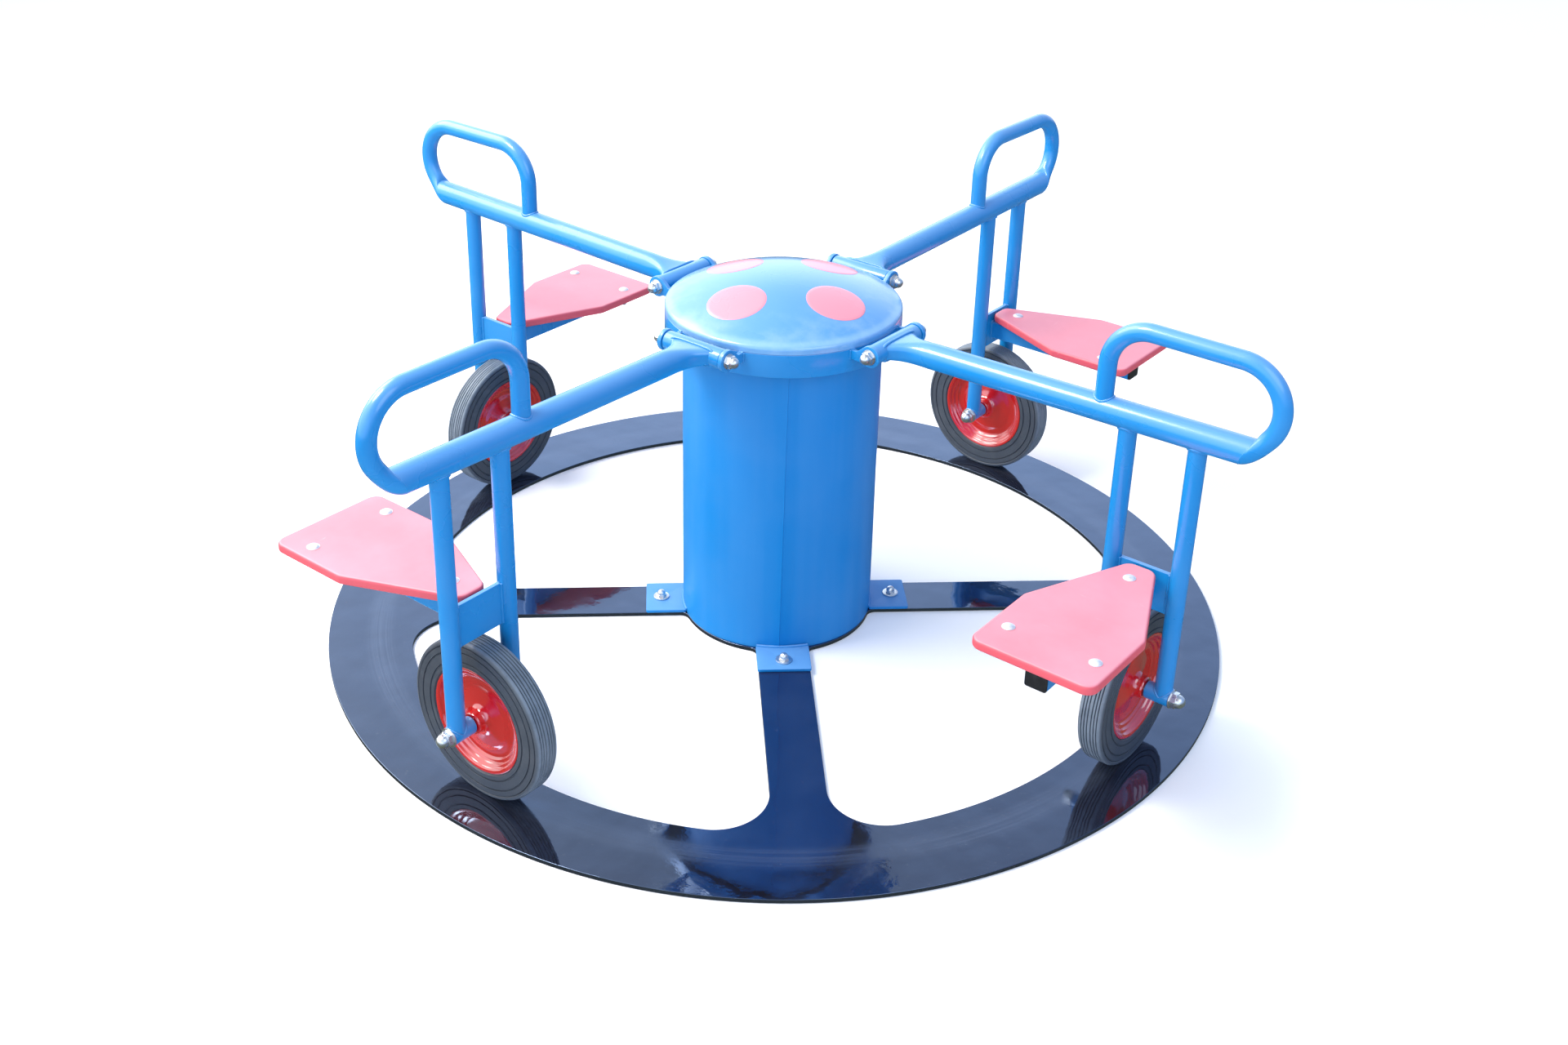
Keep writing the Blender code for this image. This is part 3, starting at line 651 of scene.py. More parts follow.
def rubber_material():
    """Black rubber, dusty grey on its tread and matt on its walls; its blue-grey tint is a painted
    sky reflection, and its grooves are darker as painted shade.
    """
    material, tree, shader = new_material("tyre_rubber")
    where = places(tree)
    from_axle = result(tree, "VectorMath", {0: own_place(tree), 1: AXLE}, operation="SUBTRACT")
    axes = node(tree, "SeparateXYZ", {0: from_axle}).outputs
    radius = flat_length(axes[1], axes[2])
    tread = ramp(radius, TYRE_RADIUS - 0.009, TYRE_RADIUS - 0.001)
    # Painted shade: the grooves keep less of the tread's pale grey.
    groove = spread(radius, TYRE_RADIUS - 0.003, TYRE_RADIUS - 0.0008, 0.35, 1.0)
    grime = cloud(where, 28.0, 6.0, 0.65)
    # Dust and a painted sky sheen on the tread.
    dust_and_sheen = times(times(tread, groove), spread(grime, 0.3, 0.7, 0.45, 1.0))
    # Both colours carry a painted blue-grey sky reflection.
    colour = mixed(dust_and_sheen, (0.05, 0.06, 0.076), (0.19, 0.23, 0.275))
    walls = times(spread(grime, 0.5, 0.8), 0.25)
    colour = mixed(walls, colour, (0.13, 0.14, 0.15))
    roughness = spread(grime, 0.3, 0.7, 0.36, 0.55)
    normal = bumped(cloud(where, 700.0, 3.0, 0.6), 0.00012, 0.8)
    link(shader, Base_Color=colour, Roughness=roughness, Normal=normal)
    return material


def metal(name, colour, rough, grain, tarnish):
    """Plated or machined metal with fine grain and a little tarnish."""
    material, tree, shader = new_material(name)
    where = places(tree)
    spots = spread(cloud(where, 120.0, 5.0, 0.65), 0.45, 0.75)
    base = mixed(times(spots, 0.45), colour, tarnish)
    fine = cloud(where, grain, 4.0, 0.6)
    roughness = spread(fine, 0.3, 0.7, rough * 0.7, rough * 1.4)
    normal = bumped(fine, 0.00004, 0.6)
    link(shader, Base_Color=base, Metallic=1.0, Roughness=roughness, Normal=normal)
    return material


def plastic():
    """Moulded black plastic with a fine spark-eroded grain."""
    material, tree, shader = new_material("moulded_black")
    where = places(tree)
    grime = spread(cloud(where, 60.0, 5.0, 0.6), 0.5, 0.8)
    colour = mixed(times(grime, 0.4), (0.012, 0.012, 0.013), (0.06, 0.06, 0.06))
    roughness = spread(grime, 0.0, 1.0, 0.42, 0.62)
    normal = bumped(cloud(where, 1100.0, 2.0), 0.00008, 0.8)
    link(shader, Base_Color=colour, Roughness=roughness, Normal=normal)
    return material


# The second, paler colour of each paint below is painted light from above, taken by faces that
# point up.
DEEP_BLUE, PALE_TOP_LIT_BLUE = (0.003, 0.212, 0.53), (0.125, 0.32, 0.62)
DEEP_RED, PALE_TOP_LIT_RED = (0.52, 0.005, 0.006), (0.58, 0.012, 0.012)
# A slightly darker deep blue, used on the drum.
DRUM_DEEP_BLUE = (0.002, 0.19, 0.51)
BLUE = gloss_paint("blue_gloss", DEEP_BLUE, PALE_TOP_LIT_BLUE, coat=0.55)
DULL = (0.34, 0.46)
DRUM_BLUE = gloss_paint("drum_blue_gloss", DRUM_DEEP_BLUE, PALE_TOP_LIT_BLUE, DULL, 0.0, 1.3, 0.14)
# The lid's pale patches and pale rim band are painted highlights.
LID_BLUE = gloss_paint("lid_blue_gloss", DEEP_BLUE, PALE_TOP_LIT_BLUE, coat=0.7, haze_highlight=0.25)
RED = gloss_paint("red_gloss", DEEP_RED, PALE_TOP_LIT_RED, (0.08, 0.13), 1.0, 2.0)
SPOT_RED = gloss_paint("spot_red", (0.8, 0.18, 0.23), (0.88, 0.3, 0.36))
BLACK = plate_paint()
BOARD = board_material()
RUBBER = rubber_material()
ZINC = metal("bright_zinc", (0.8, 0.8, 0.79), 0.33, 260.0, (0.58, 0.56, 0.52))
DULL_ZINC = metal("dull_zinc", (0.88, 0.86, 0.86), 0.62, 260.0, (0.7, 0.68, 0.66))
STEEL = metal("machined_steel", (0.46, 0.46, 0.47), 0.34, 500.0, (0.2, 0.17, 0.14))
PLASTIC = plastic()


# Base.


def window_points():
    """One opening of the track plate, between the spoke along +X and the one along +Y."""
    half = SPOKE_WIDTH / 2
    rim_side = half + RIM_FILLET
    rim_along = math.sqrt((TRACK_INNER - RIM_FILLET) ** 2 - rim_side**2)
    rim_angle = math.atan2(rim_side, rim_along)
    hub_side = half + CENTRE_FILLET
    hub_along = math.sqrt((CENTRE_DISC + CENTRE_FILLET) ** 2 - hub_side**2)
    hub_angle = math.atan2(hub_side, hub_along)
    points = arc((rim_along, rim_side), RIM_FILLET, -QUARTER, rim_angle, 24)
    points += arc((0, 0), TRACK_INNER, rim_angle, QUARTER - rim_angle, 48)[1:-1]
    points += arc((rim_side, rim_along), RIM_FILLET, QUARTER - rim_angle, math.pi, 24)
    end = TAU - QUARTER - hub_angle
    points += arc((hub_side, hub_along), CENTRE_FILLET, math.pi, end, 8)
    points += arc((0, 0), CENTRE_DISC, QUARTER - hub_angle, hub_angle, 16)[1:-1]
    start = math.pi + hub_angle
    return points + arc((hub_along, hub_side), CENTRE_FILLET, start, math.pi + QUARTER, 8)


def spun(points, angle):
    turn = Matrix.Rotation(angle, 2)
    return [turn @ Vector(point) for point in points]


def track_plate():
    loops = [arc((0, 0), TRACK_OUTER, 0, TAU, 288)[:-1]]
    loops += [spun(window_points(), SPOKE_TURN + k * QUARTER) for k in range(4)]
    part = slab(loops, 0.0, TRACK_TOP, PLATE_EDGE, 3)
    piece("track_sheet", [part], BLACK, "base", "black_paint", ["track_plate"], flat_sides=True)


def seam_depth(off):
    """How far the rolled sheet lies inside a true circle, by the angle from its lapped seam."""
    off = math.remainder(off, TAU)
    apart = abs(off) / SEAM_REACH
    lap = SEAM_STEP * math.exp(-apart / 4) if off > 0 else 0.0
    return SEAM_DIP * apart * math.exp(1 - apart) + lap


def drum_angles():
    """Angles round the drum from its seam, with a pair across the lap's edge."""
    edge = math.radians(0.12)
    coarse = [TAU * i / 180 for i in range(1, 180)]
    near = [math.radians(a) for a in (0.6, 1.2)]
    return sorted([edge] + near + coarse + [TAU - a for a in near] + [TAU - edge])


def drum_sheet(wall):
    """The rolled sheet with its seam and its top ring."""
    angles = drum_angles()
    rings = []
    rows = 30
    for row in range(rows + 1):
        z = DRUM_LOW + (DRUM_HIGH - DRUM_LOW) * row / rows
        ring = []
        wander = 0.004 * noise.noise(Vector((0, 0, z * 14)))
        lean = SEAM_TURN + SEAM_LEAN * (1 - z / DRUM_HIGH) + wander
        for angle in angles:
            turn = lean + angle
            around = Vector((math.cos(turn), math.sin(turn), 0))
            uneven = 0.0006 * (noise.noise(around * 2.2 + Vector((0, 0, z * 5))) - 0.6)
            depth = seam_depth(angle) - min(uneven, 0)
            ring.append(around * (DRUM_RADIUS - depth) + Vector((0, 0, z)))
        rings.append(ring)
    hole, top = TOP_RING_HOLE, DRUM_HIGH - TOP_RING_THICK
    for radius, z in ((hole, DRUM_HIGH), (hole, top), (wall, top), (wall, DRUM_LOW)):
        around = [SEAM_TURN + a for a in angles]
        rings.append([Vector((radius * math.cos(a), radius * math.sin(a), z)) for a in around])
    return skin(rings, loop=True)


def drum_shell():
    """The drum with its four welded feet."""
    wall = DRUM_RADIUS - DRUM_WALL
    parts = [drum_sheet(wall)]
    half = FOOT_WIDTH / 2
    corners = block((wall - 0.002, -half), (FOOT_REACH, half), 0.0045, 5)
    hole = disc_points(0.0068, (FOOT_BOLT_AT, 0))
    foot = slab([corners, hole], DRUM_LOW, DRUM_LOW + FOOT_THICK, 0.0007, 3)
    reach = math.asin((half - 0.001) / DRUM_RADIUS)
    line = arc((0, 0), DRUM_RADIUS - 0.0008, -reach, reach, 24)
    weld = bead([Vector((*p, DRUM_LOW + FOOT_THICK)) for p in line], FOOT_WELD, side_hint=UP)
    for k in range(4):
        turn = about("Z", SPOKE_TURN + k * QUARTER)
        parts += [moved(foot, turn), moved(weld, turn)]
    piece("drum_shell", parts, DRUM_BLUE, "base", "blue_paint", ["pedestal_drum"], 40)


def foot_bolts():
    """A dome nut on a washer at each foot, with the bolt's shank through the plate."""
    seat = DRUM_LOW + FOOT_THICK + HAIR
    low, thick = 0.0006, 0.0025
    shank = rod(FOOT_SHAFT, low, seat, 32)
    ring = moved(washer(0.016, 0.0057, thick), shift(0, 0, seat))
    nut = moved(dome_nut(0.0104, 0.4), shift(0, 0, seat + thick))
    for k in range(4):
        turn = about("Z", SPOKE_TURN + k * QUARTER)
        put = turn @ shift(FOOT_BOLT_AT, 0, 0) @ about("Z", 0.4 + 1.3 * k)
        parts = [moved(part, put) for part in (shank, ring, nut)]
        piece(f"foot_nut_{k + 1}", parts, ZINC, "base", "zinc", [f"foot_bolt_{k + 1}"], 25)


# Head.


def on_skirt(y, z):
    """The point of the skirt's outside at a y and a height, on the +X side."""
    return Vector((math.sqrt(HEAD_RADIUS**2 - y**2), y, z))


def head_band():
    """The skirt with its welded lugs, each a plate with a round end."""
    inner = HEAD_RADIUS - SKIRT_WALL
    parts = [turned(block((inner, SKIRT_LOW), (HEAD_RADIUS, SKIRT_HIGH), 0.0012, 4), 240)]
    start = math.sqrt(HEAD_RADIUS**2 - LUG_NEAR**2) - 0.004
    end_x, z = PIVOT.x, PIVOT.z
    above = SKIRT_HIGH - 0.001 - z
    lower = math.asin(LUG_BELOW / LUG_RADIUS)
    outline = [Vector((start, z - LUG_BELOW))]
    outline += arc((end_x, z), LUG_RADIUS, -math.pi + lower, LUG_SHOULDER, 40)
    outline += [Vector((HEAD_RADIUS, z + above)), Vector((start, z + above))]
    hole = disc_points(PIVOT_HOLE, (end_x, z), 32)
    lug = moved(slab([outline, hole], LUG_NEAR, LUG_FAR, 0.0012, 3), ALONG_Y)
    heights = (z - LUG_BELOW, z + above)
    for k in range(4):
        turn = about("Z", k * QUARTER)
        for side in (1, -1):
            # ALONG_Y puts the lug on the -Y side, and a mirror gives the other one.
            parts.append(moved(lug, turn @ Matrix.Diagonal((1, -side, 1, 1))))
            for y in (LUG_NEAR, LUG_FAR):
                ends = [on_skirt(side * y, height) for height in heights]
                parts.append(moved(bead(ends, LUG_WELD, side_hint=OUT), turn))
            for height in heights:
                row = [on_skirt(side * y, height) for y in (LUG_NEAR, LUG_FAR)]
                parts.append(moved(bead(row, LUG_WELD, side_hint=UP), turn))
    piece("head_band", parts, BLUE, "head", "blue_paint", ["head_ring"])


def lid_shape():
    """(sphere's centre height, sphere's radius, round edge's centre height) of the lid."""
    at = HEAD_RADIUS - LID_ROUND + LID_ROUND * math.sin(LID_SLOPE)
    radius = at / math.sin(LID_SLOPE)
    drop = radius * (1 - math.cos(LID_SLOPE))
    return LID_HIGH - radius, radius, LID_HIGH - drop - LID_ROUND * math.cos(LID_SLOPE)


def dome_lid():
    """The pressed lid: a shallow dome with a rounded edge and a short flange."""
    centre, radius, edge = lid_shape()
    slopes = [LID_SLOPE * i / 36 for i in range(37)]
    outer = [(radius * math.sin(a), centre + radius * math.cos(a)) for a in slopes]
    outer += arc((HEAD_RADIUS - LID_ROUND, edge), LID_ROUND, QUARTER - LID_SLOPE, 0, 8)[1:]
    low, chamfer = SKIRT_HIGH + HAIR, 0.0006
    outer += [(HEAD_RADIUS, low + chamfer), (HEAD_RADIUS - chamfer, low)]
    thin = radius - LID_THICK
    inner = [(HEAD_RADIUS - LID_THICK, low), (HEAD_RADIUS - LID_THICK, edge)]
    inner += [(thin * math.sin(a), centre + thin * math.cos(a)) for a in reversed(slopes)]
    outer[0], inner[-1] = (0, outer[0][1]), (0, inner[-1][1])
    shell = turned(outer + inner, 192, False)
    piece("lid_dome", [shell], LID_BLUE, "head", "blue_paint", ["dome_lid"])


def lid_spots():
    """Four red spots, thin discs that follow the dome."""
    centre, radius, _ = lid_shape()
    middle = Vector((0, 0, centre))
    tilt = math.asin(SPOT_AT / radius)
    for k in range(4):
        turn = SPOT_TURN + k * QUARTER
        out = Vector((math.cos(turn), math.sin(turn), 0))
        normal = out * math.sin(tilt) + Vector((0, 0, math.cos(tilt)))
        side = Vector((-out.y, out.x, 0))
        down = side.cross(normal)
        rings = [[middle + normal * (radius + SPOT_THICK)]]
        levels = [(SPOT_RADIUS * i / 8, SPOT_THICK) for i in range(1, 8)]
        levels += [(SPOT_RADIUS - 0.0004, SPOT_THICK), (SPOT_RADIUS, SPOT_THICK * 0.5)]
        levels += [(SPOT_RADIUS, -0.0004)]
        for reach, lift in levels:
            ring = []
            for c, s in turns(72):
                flat = normal * radius + reach * (c * side + s * down)
                ring.append(middle + flat.normalized() * (radius + lift))
            rings.append(ring)
        part = skin(rings, cap_end=True)
        piece(f"lid_spot_{k + 1}", [part], SPOT_RED, "head", "red_paint")


def pin_with_nuts(length, shank, nut, thick=0.0018):
    """A pin along Z between two washers and dome nuts, whose seats stand at +-length."""
    parts = [rod(shank, -length, length, 40)]
    for spin, flip in ((0.3, 1), (1.1, -1)):
        over = Matrix.Diagonal((1, 1, flip, 1)) @ about("Z", spin)
        seat = over @ shift(0, 0, length)
        parts.append(moved(washer(nut * 1.12, shank, thick), seat))
        parts.append(moved(dome_nut(nut * 0.99, 0.66), over @ shift(0, 0, length + thick)))
    return parts


def pivot_pins():
    pin = pin_with_nuts(LUG_FAR + HAIR, PIVOT_SHAFT, 0.013)
    parts = [moved(part, ON_PIVOT) for part in pin]
    on_each_arm("pivot_bolt", parts, ZINC, "head", "zinc", "pivot_pin", 25)


# Arms.


def arm_line(x):
    """The arm tube's centre line, which rises a little towards its end."""
    return PIVOT.lerp(ARM_END, (x - PIVOT.x) / (ARM_END.x - PIVOT.x))


def smooth(share):
    share = min(max(share, 0.0), 1.0)
    return share * share * (3 - 2 * share)


def oval(x, half_width, half_height, power):
    """A ring across the arm, from an oval to a flattened box as its power grows."""
    middle = arm_line(x)
    ring = []
    for c, s in turns(TUBE_STEPS):
        y = math.copysign(abs(c) ** (2 / power), c) * half_width
        z = math.copysign(abs(s) ** (2 / power), s) * half_height
        ring.append(middle + Vector((0, y, z)))
    return ring


def mitre_ring(radius):
    """The ring where the arm is cut for the handle, on a leaning plane."""
    lean = math.tan(MITRE)
    ring = [(radius * c, radius * s) for c, s in turns(TUBE_STEPS)]
    return [ARM_END + Vector((z * lean, y, z)) for y, z in ring]


def arm_beam():
    """The arm tube, flared and flattened where it is welded to its pivot sleeve."""
    rings = []
    start = 0.004
    for i in range(25):
        share = i / 24
        narrow = 1 - (1 - share) ** 2.2
        wide = FLARE_HALF + (ARM_RADIUS - FLARE_HALF) * smooth(narrow)
        tall = FLARE_TALL + (ARM_RADIUS - FLARE_TALL) * smooth(share)
        power = 2 + 2.2 * (1 - smooth(share * 1.1))
        rings.append(oval(PIVOT.x + start + FLARE_LENGTH * share, wide, tall, power))
    first = PIVOT.x + start + FLARE_LENGTH
    last = ARM_END.x - 0.014
    for i in range(1, 25):
        rings.append(oval(first + (last - first) * i / 24, ARM_RADIUS, ARM_RADIUS, 2))
    rings.append(mitre_ring(ARM_RADIUS))
    tube = skin(rings, cap_start=True)
    wall = block((PIVOT_HOLE, -SLEEVE_HALF), (SLEEVE_RADIUS, SLEEVE_HALF), 0.0015, 4)
    sleeve = moved(turned(wall, TUBE_STEPS), ON_PIVOT)
    weld = bead(oval(PIVOT.x + 0.0105, FLARE_HALF - 0.0002, 0.0168, 5), FLARE_WELD, True)
    on_each_arm("arm_beam", [tube, sleeve, weld], BLUE, "arm", "blue_paint", "swing_arm", 40)


def handle_route():
    """The rail's centre line from the arm's top up, along, and round to its outer end."""
    top = HANDLE_TOP - TUBE_RADIUS
    bend = HANDLE_BEND
    outer = HANDLE_OUT - TUBE_RADIUS - bend
    route = [Vector((HANDLE_INNER, arm_line(HANDLE_INNER).z + 0.006))]
    route += arc((HANDLE_INNER + bend, top - bend), bend, math.pi, QUARTER, 20)
    route += arc((outer, top - bend), bend, QUARTER, RAIL_TURN, 32)
    return [Vector((p.x, 0.0, p.y)) for p in route], Vector((outer, 0.0, top - bend))


def curve(start, control, end, share):
    """A point of the curve that leaves start towards control and reaches end from it."""
    return start.lerp(control, share).lerp(control.lerp(end, share), share)


def rail_end(centre, start):
    """Rings that swell the rail from an angle of its last bend to the arm's mitred end."""
    out = Vector((math.cos(start), 0, math.sin(start)))
    onward = Vector((math.sin(start), 0, -math.cos(start)))
    over = Vector((math.tan(MITRE), 0, 1)) * ARM_RADIUS
    outer = centre + out * (HANDLE_BEND + TUBE_RADIUS)
    inner = centre + out * (HANDLE_BEND - TUBE_RADIUS)
    low, high = ARM_END - over, ARM_END + over
    back = (ARM_END - PIVOT).normalized()
    reach = (low - outer).cross(back).y / onward.cross(back).y
    outer_control = outer + onward * reach
    inner_control = inner + onward * (high - inner).length / 2
    rings = []
    for i in range(19):
        share = i / 18
        under = curve(outer, outer_control, low, share)
        above = curve(inner, inner_control, high, share)
        middle, half = (under + above) / 2, (above - under) / 2
        wide = TUBE_RADIUS + (ARM_RADIUS - TUBE_RADIUS) * smooth(share)
        ring = turns(TUBE_STEPS)
        rings.append([middle + Vector((0, wide * c, 0)) + half * s for c, s in ring])
    return rings


def hand_rail():
    """The bent rail, swelling at its outer end to meet the arm's mitred end."""
    route, centre = handle_route()
    tube = sweep(route, TUBE_RADIUS, TUBE_STEPS, side_hint=ACROSS)
    swell = skin(rail_end(centre, RAIL_TURN + math.radians(0.5)))
    start = Vector((HANDLE_INNER, 0, HANDLE_TOP - HANDLE_BEND))
    joint = crossing(start, -UP, TUBE_RADIUS, PIVOT, ARM_END - PIVOT, ARM_RADIUS)
    seam = mitre_ring(ARM_RADIUS - 0.0012)
    parts = [tube, swell, bead(joint, WELD, True), bead(seam, SEAM_WELD, True)]
    on_each_arm("hand_rail", parts, BLUE, "arm", "blue_paint", "grab_handle", 50)


def fork_leg(side):
    """A leg from the arm down to the boss that holds the axle."""
    x = AXLE.x + side * LEG_SPREAD
    foot, head = Vector((x, 0, AXLE.z)), Vector((x, 0, arm_line(x).z))
    path = [foot.lerp(head, i / 40) for i in range(41)]
    tube = sweep(path, TUBE_RADIUS, 48, side_hint=ACROSS)
    reach = LEG_SPREAD + TUBE_RADIUS - BOSS_INNER
    boss = turned(block((AXLE_HOLE, 0), (TUBE_RADIUS, reach), 0.0013, 4), TUBE_STEPS)
    lay = shift(AXLE.x + side * BOSS_INNER, 0, AXLE.z)
    boss = moved(boss, lay @ about("Y", side * QUARTER))
    top = crossing(foot, UP, TUBE_RADIUS, PIVOT, ARM_END - PIVOT, ARM_RADIUS)
    low = crossing(head, -UP, TUBE_RADIUS, foot, OUT, TUBE_RADIUS + 0.0002)
    parts = [tube, boss, bead(top, WELD, True), bead(low, SMALL_WELD, True)]
    end = "outer" if side > 0 else "inner"
    on_each_arm(f"fork_{end}", parts, BLUE, "arm", "blue_paint", f"{end}_leg", 40)


def fork_bridge():
    """The plate between the legs, welded down both sides."""
    low, high = BRIDGE_LOW, BRIDGE_HIGH
    outline = block(low.xz, high.xz, 0.0015, 3)
    parts = [moved(slab([outline], -high.y, -low.y, 0.001, 3), ALONG_Y)]
    for x in (low.x, high.x):
        for y in (low.y, high.y):
            ends = [Vector((x, y, low.z + 0.001)), Vector((x, y, high.z - 0.001))]
            parts.append(bead(ends, WELD, side_hint=OUT))
    on_each_arm("fork_bridge", parts, BLUE, "arm", "blue_paint", "bridge_plate", flat_sides=True)


def seat_beam():
    """The square tube behind the bridge and the tee-shaped strap that the seat rests on."""
    tube_top = STRAP_HIGH - STRAP_THICK
    half = BEARER_SIDE / 2
    start = BRIDGE_LOW.y - HAIR
    low, high = (AXLE.x - half, tube_top - BEARER_SIDE), (AXLE.x + half, tube_top)
    outer = block(low, high, 0.0045, 5)
    wall = BEARER_WALL
    low, high = (low[0] + wall, low[1] + wall), (high[0] - wall, high[1] - wall)
    hole = block(low, high, 0.0018, 4)
    tube = moved(slab([outer, hole], -start, -BEARER_END, 0.0004, 2), ALONG_Y)
    front, rear = STRAP_AT + STRAP_HALF_WIDTH, STRAP_AT - STRAP_HALF_WIDTH
    arms = block((AXLE.x - STRAP_HALF, rear), (AXLE.x + STRAP_HALF, front), 0.004, 4)
    stem = block((AXLE.x - half, front - 0.001), (AXLE.x + half, start - 0.02), 0.003, 4)
    parts = [tube, slab([arms], tube_top, STRAP_HIGH, 0.0008, 3)]
    parts.append(slab([stem], tube_top, STRAP_HIGH - 0.00005, 0.0008, 3))
    ring = [Vector((x, start - 0.0002, z)) for x, z in outer]
    parts.append(bead(ring, WELD, True))
    for side in (1, -1):
        x = AXLE.x + side * half
        ends = [Vector((x, rear + 0.002, tube_top)), Vector((x, front - 0.002, tube_top))]
        parts.append(bead(ends, SMALL_WELD, side_hint=UP))
    on_each_arm("seat_beam", parts, BLUE, "arm", "blue_paint", "seat_bearer", flat_sides=True)


def end_cap():
    """The ribbed plastic cap in the bearer's rear end."""
    low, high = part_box("bearer_plug_1")
    cap = 0.005
    corners = block(low.xz, high.xz, 0.0045, 6)
    parts = [moved(slab([corners], -(low.y + cap), -low.y, 0.0016, 4), ALONG_Y)]
    middle = (low + high) / 2
    inside = BEARER_SIDE / 2 - BEARER_WALL - 0.0006
    for step in range(3):
        near = low.y + cap + 0.001 + 0.005 * step
        half = inside - 0.0006 * step
        loop = rectangle((middle.x - half, middle.z - half), (middle.x + half, middle.z + half))
        rib = slab([rounded(loop, 0.0015, 3)], -(near + 0.004), -(near - 0.0025), 0.0005, 2)
        parts.append(moved(rib, ALONG_Y))
    on_each_arm("end_cap", parts, PLASTIC, "arm", "black_plastic", "bearer_plug", flat_sides=True)


def seat_panel():
    """The six-sided seat board with well-rounded edges."""
    corners = [(SEAT_MIDDLE + half, y) for half, y in SEAT_OUTLINE]
    corners += [(SEAT_MIDDLE - half, y) for half, y in reversed(SEAT_OUTLINE)]
    board = slab([rounded(corners, SEAT_CORNER, 14)], SEAT_LOW, SEAT_HIGH, SEAT_EDGE, 7)
    on_each_arm("seat_panel", [board], BOARD, "arm", "seat_board", "seat_board", flat_sides=True)


def coach_bolt(spin):
    """A dome-headed bolt on a washer, from 0 up, with its shank below."""
    head = [(0, 0.0047), (0.0041, 0.0044), (0.0073, 0.0036), (0.0091, 0.0025), (0.0098, 0.0014)]
    head += [(0.0098, 0.001), (0.0093, 0.0008), (0.004, 0.0008), (0.004, -0.02), (0, -0.02)]
    parts = [turned(head, 48, False), washer(0.0113, 0.0042, 0.001)]
    return [moved(part, about("Z", spin)) for part in parts]


def seat_bolts():
    """Three bolts through each seat. The rear two have nuts under the strap."""
    under = STRAP_HIGH - STRAP_THICK
    parts = []
    for index, (x, y) in enumerate(SEAT_BOLTS):
        top, low = shift(AXLE.x + x, y, SEAT_HIGH), shift(AXLE.x + x, y, under)
        parts += [moved(part, top) for part in coach_bolt(index)]
        if index:
            down = low @ Matrix.Diagonal((1, 1, -1, 1))
            thick = 0.0014
            parts.append(moved(washer(0.0105, 0.004, thick), down))
            parts.append(moved(dome_nut(0.0082), down @ shift(0, 0, thick)))
            parts.append(moved(rod(0.004, -0.01, 0.012, 24), low))
    on_each_arm("seat_bolts", parts, DULL_ZINC, "arm", "zinc", None, 25)


def axle_bolt():
    pin = pin_with_nuts(LEG_SPREAD + TUBE_RADIUS + HAIR, AXLE_SHAFT, 0.0155)
    parts = [moved(part, ON_AXLE) for part in pin]
    on_each_arm("axle_bolt", parts, ZINC, "arm", "zinc", "wheel_axle", 25)


# Wheels.


def mirrored(profile):
    """The profile's points at negative heights, in reverse."""
    return [(radius, -height) for radius, height in reversed(profile)]


def tyre_profile():
    """Half the tyre: grooved tread, round shoulder and ringed wall, down to the rim."""
    radius, depth = TYRE_RADIUS, 0.0036
    points = [(radius, 0.0)]
    for groove in (0.0036, 0.0092, 0.0145):
        half, lip = 0.001, 0.0004
        points += [(radius, groove - half - lip), (radius - lip, groove - half)]
        points += [(radius - depth, groove - half * 0.6), (radius - depth, groove + half * 0.6)]
        points += [(radius - lip, groove + half), (radius, groove + half + lip)]
    shoulder, wall = 0.0072, TYRE_HALF
    points += arc((radius - shoulder, wall - shoulder), shoulder, 0, QUARTER, 9)
    low = wall - 0.0022
    for at, half in ((0.1355, 0.0045), (0.1205, 0.0075), (0.106, 0.0035)):
        points += [(at + half + 0.0007, low), (at + half, wall)]
        points += [(at - half, wall), (at - half - 0.0007, low)]
    points += [(0.1008, wall - 0.003), (RIM_RADIUS + HAIR, wall - 0.0036)]
    points += [(RIM_RADIUS - 0.006, wall - 0.005), (0.0923, 0.015)]
    return points


def rim_profile():
    """Half the pressed rim: rolled lip, stepped well, dished disc and hub."""
    lip = [(0.095, 0.0205), (0.0965, 0.0212), (0.0985, 0.0215), (0.0997, 0.0208)]
    lip.append((RIM_RADIUS, 0.0197))
    well = [(0.094, 0.0202), (0.0925, 0.019), (0.0915, 0.0168), (0.09, 0.0148), (0.0872, 0.0138)]
    well += [(0.0862, 0.013), (0.0852, 0.0102), (0.0838, 0.0088), (0.08, 0.008), (0.0788, 0.0072)]
    well += [(0.0776, 0.0048), (0.076, 0.0036), (0.07, 0.003)]
    disc = [(0.064, 0.0033), (0.06, 0.0044), (0.0565, 0.0062), (0.052, 0.007), (0.042, 0.0086)]
    disc += [(0.033, 0.0106), (0.028, 0.0122), (0.024, 0.0145), (0.0218, 0.0175), (0.0208, 0.021)]
    hub = [(0.0203, 0.027), (0.02, 0.0298), (0.0188, 0.031), (AXLE_HOLE, 0.031)]
    barrel = [(RIM_RADIUS - 0.0004, 0.019), (0.0985, 0.0186), (0.094, 0.0186)]
    barrel += [(0.092, 0.0176), (0.0918, 0.01)]
    return barrel[::-1] + lip[::-1] + well + disc + hub


def wheels():
    half = tyre_profile()
    tyre = moved(turned(mirrored(half[1:]) + half, 144), ON_AXLE)
    on_each_arm("wheel_tyre", [tyre], RUBBER, "wheel", "rubber", "tyre", 40)
    half = rim_profile()
    rim = moved(turned(half + mirrored(half), 144), ON_AXLE)
    on_each_arm("wheel_disc", [rim], RED, "wheel", "red_paint", "wheel_rim", 40)


def inner_metal():
    """The spindle, bearings and hub stay as the frame has them, in machined steel."""
    for name in ("spindle", "lower_bearing", "upper_bearing", "head_hub"):
        data = frame["nodes"][name].data
        data.materials.clear()
        data.materials.append(STEEL)


# Stage.


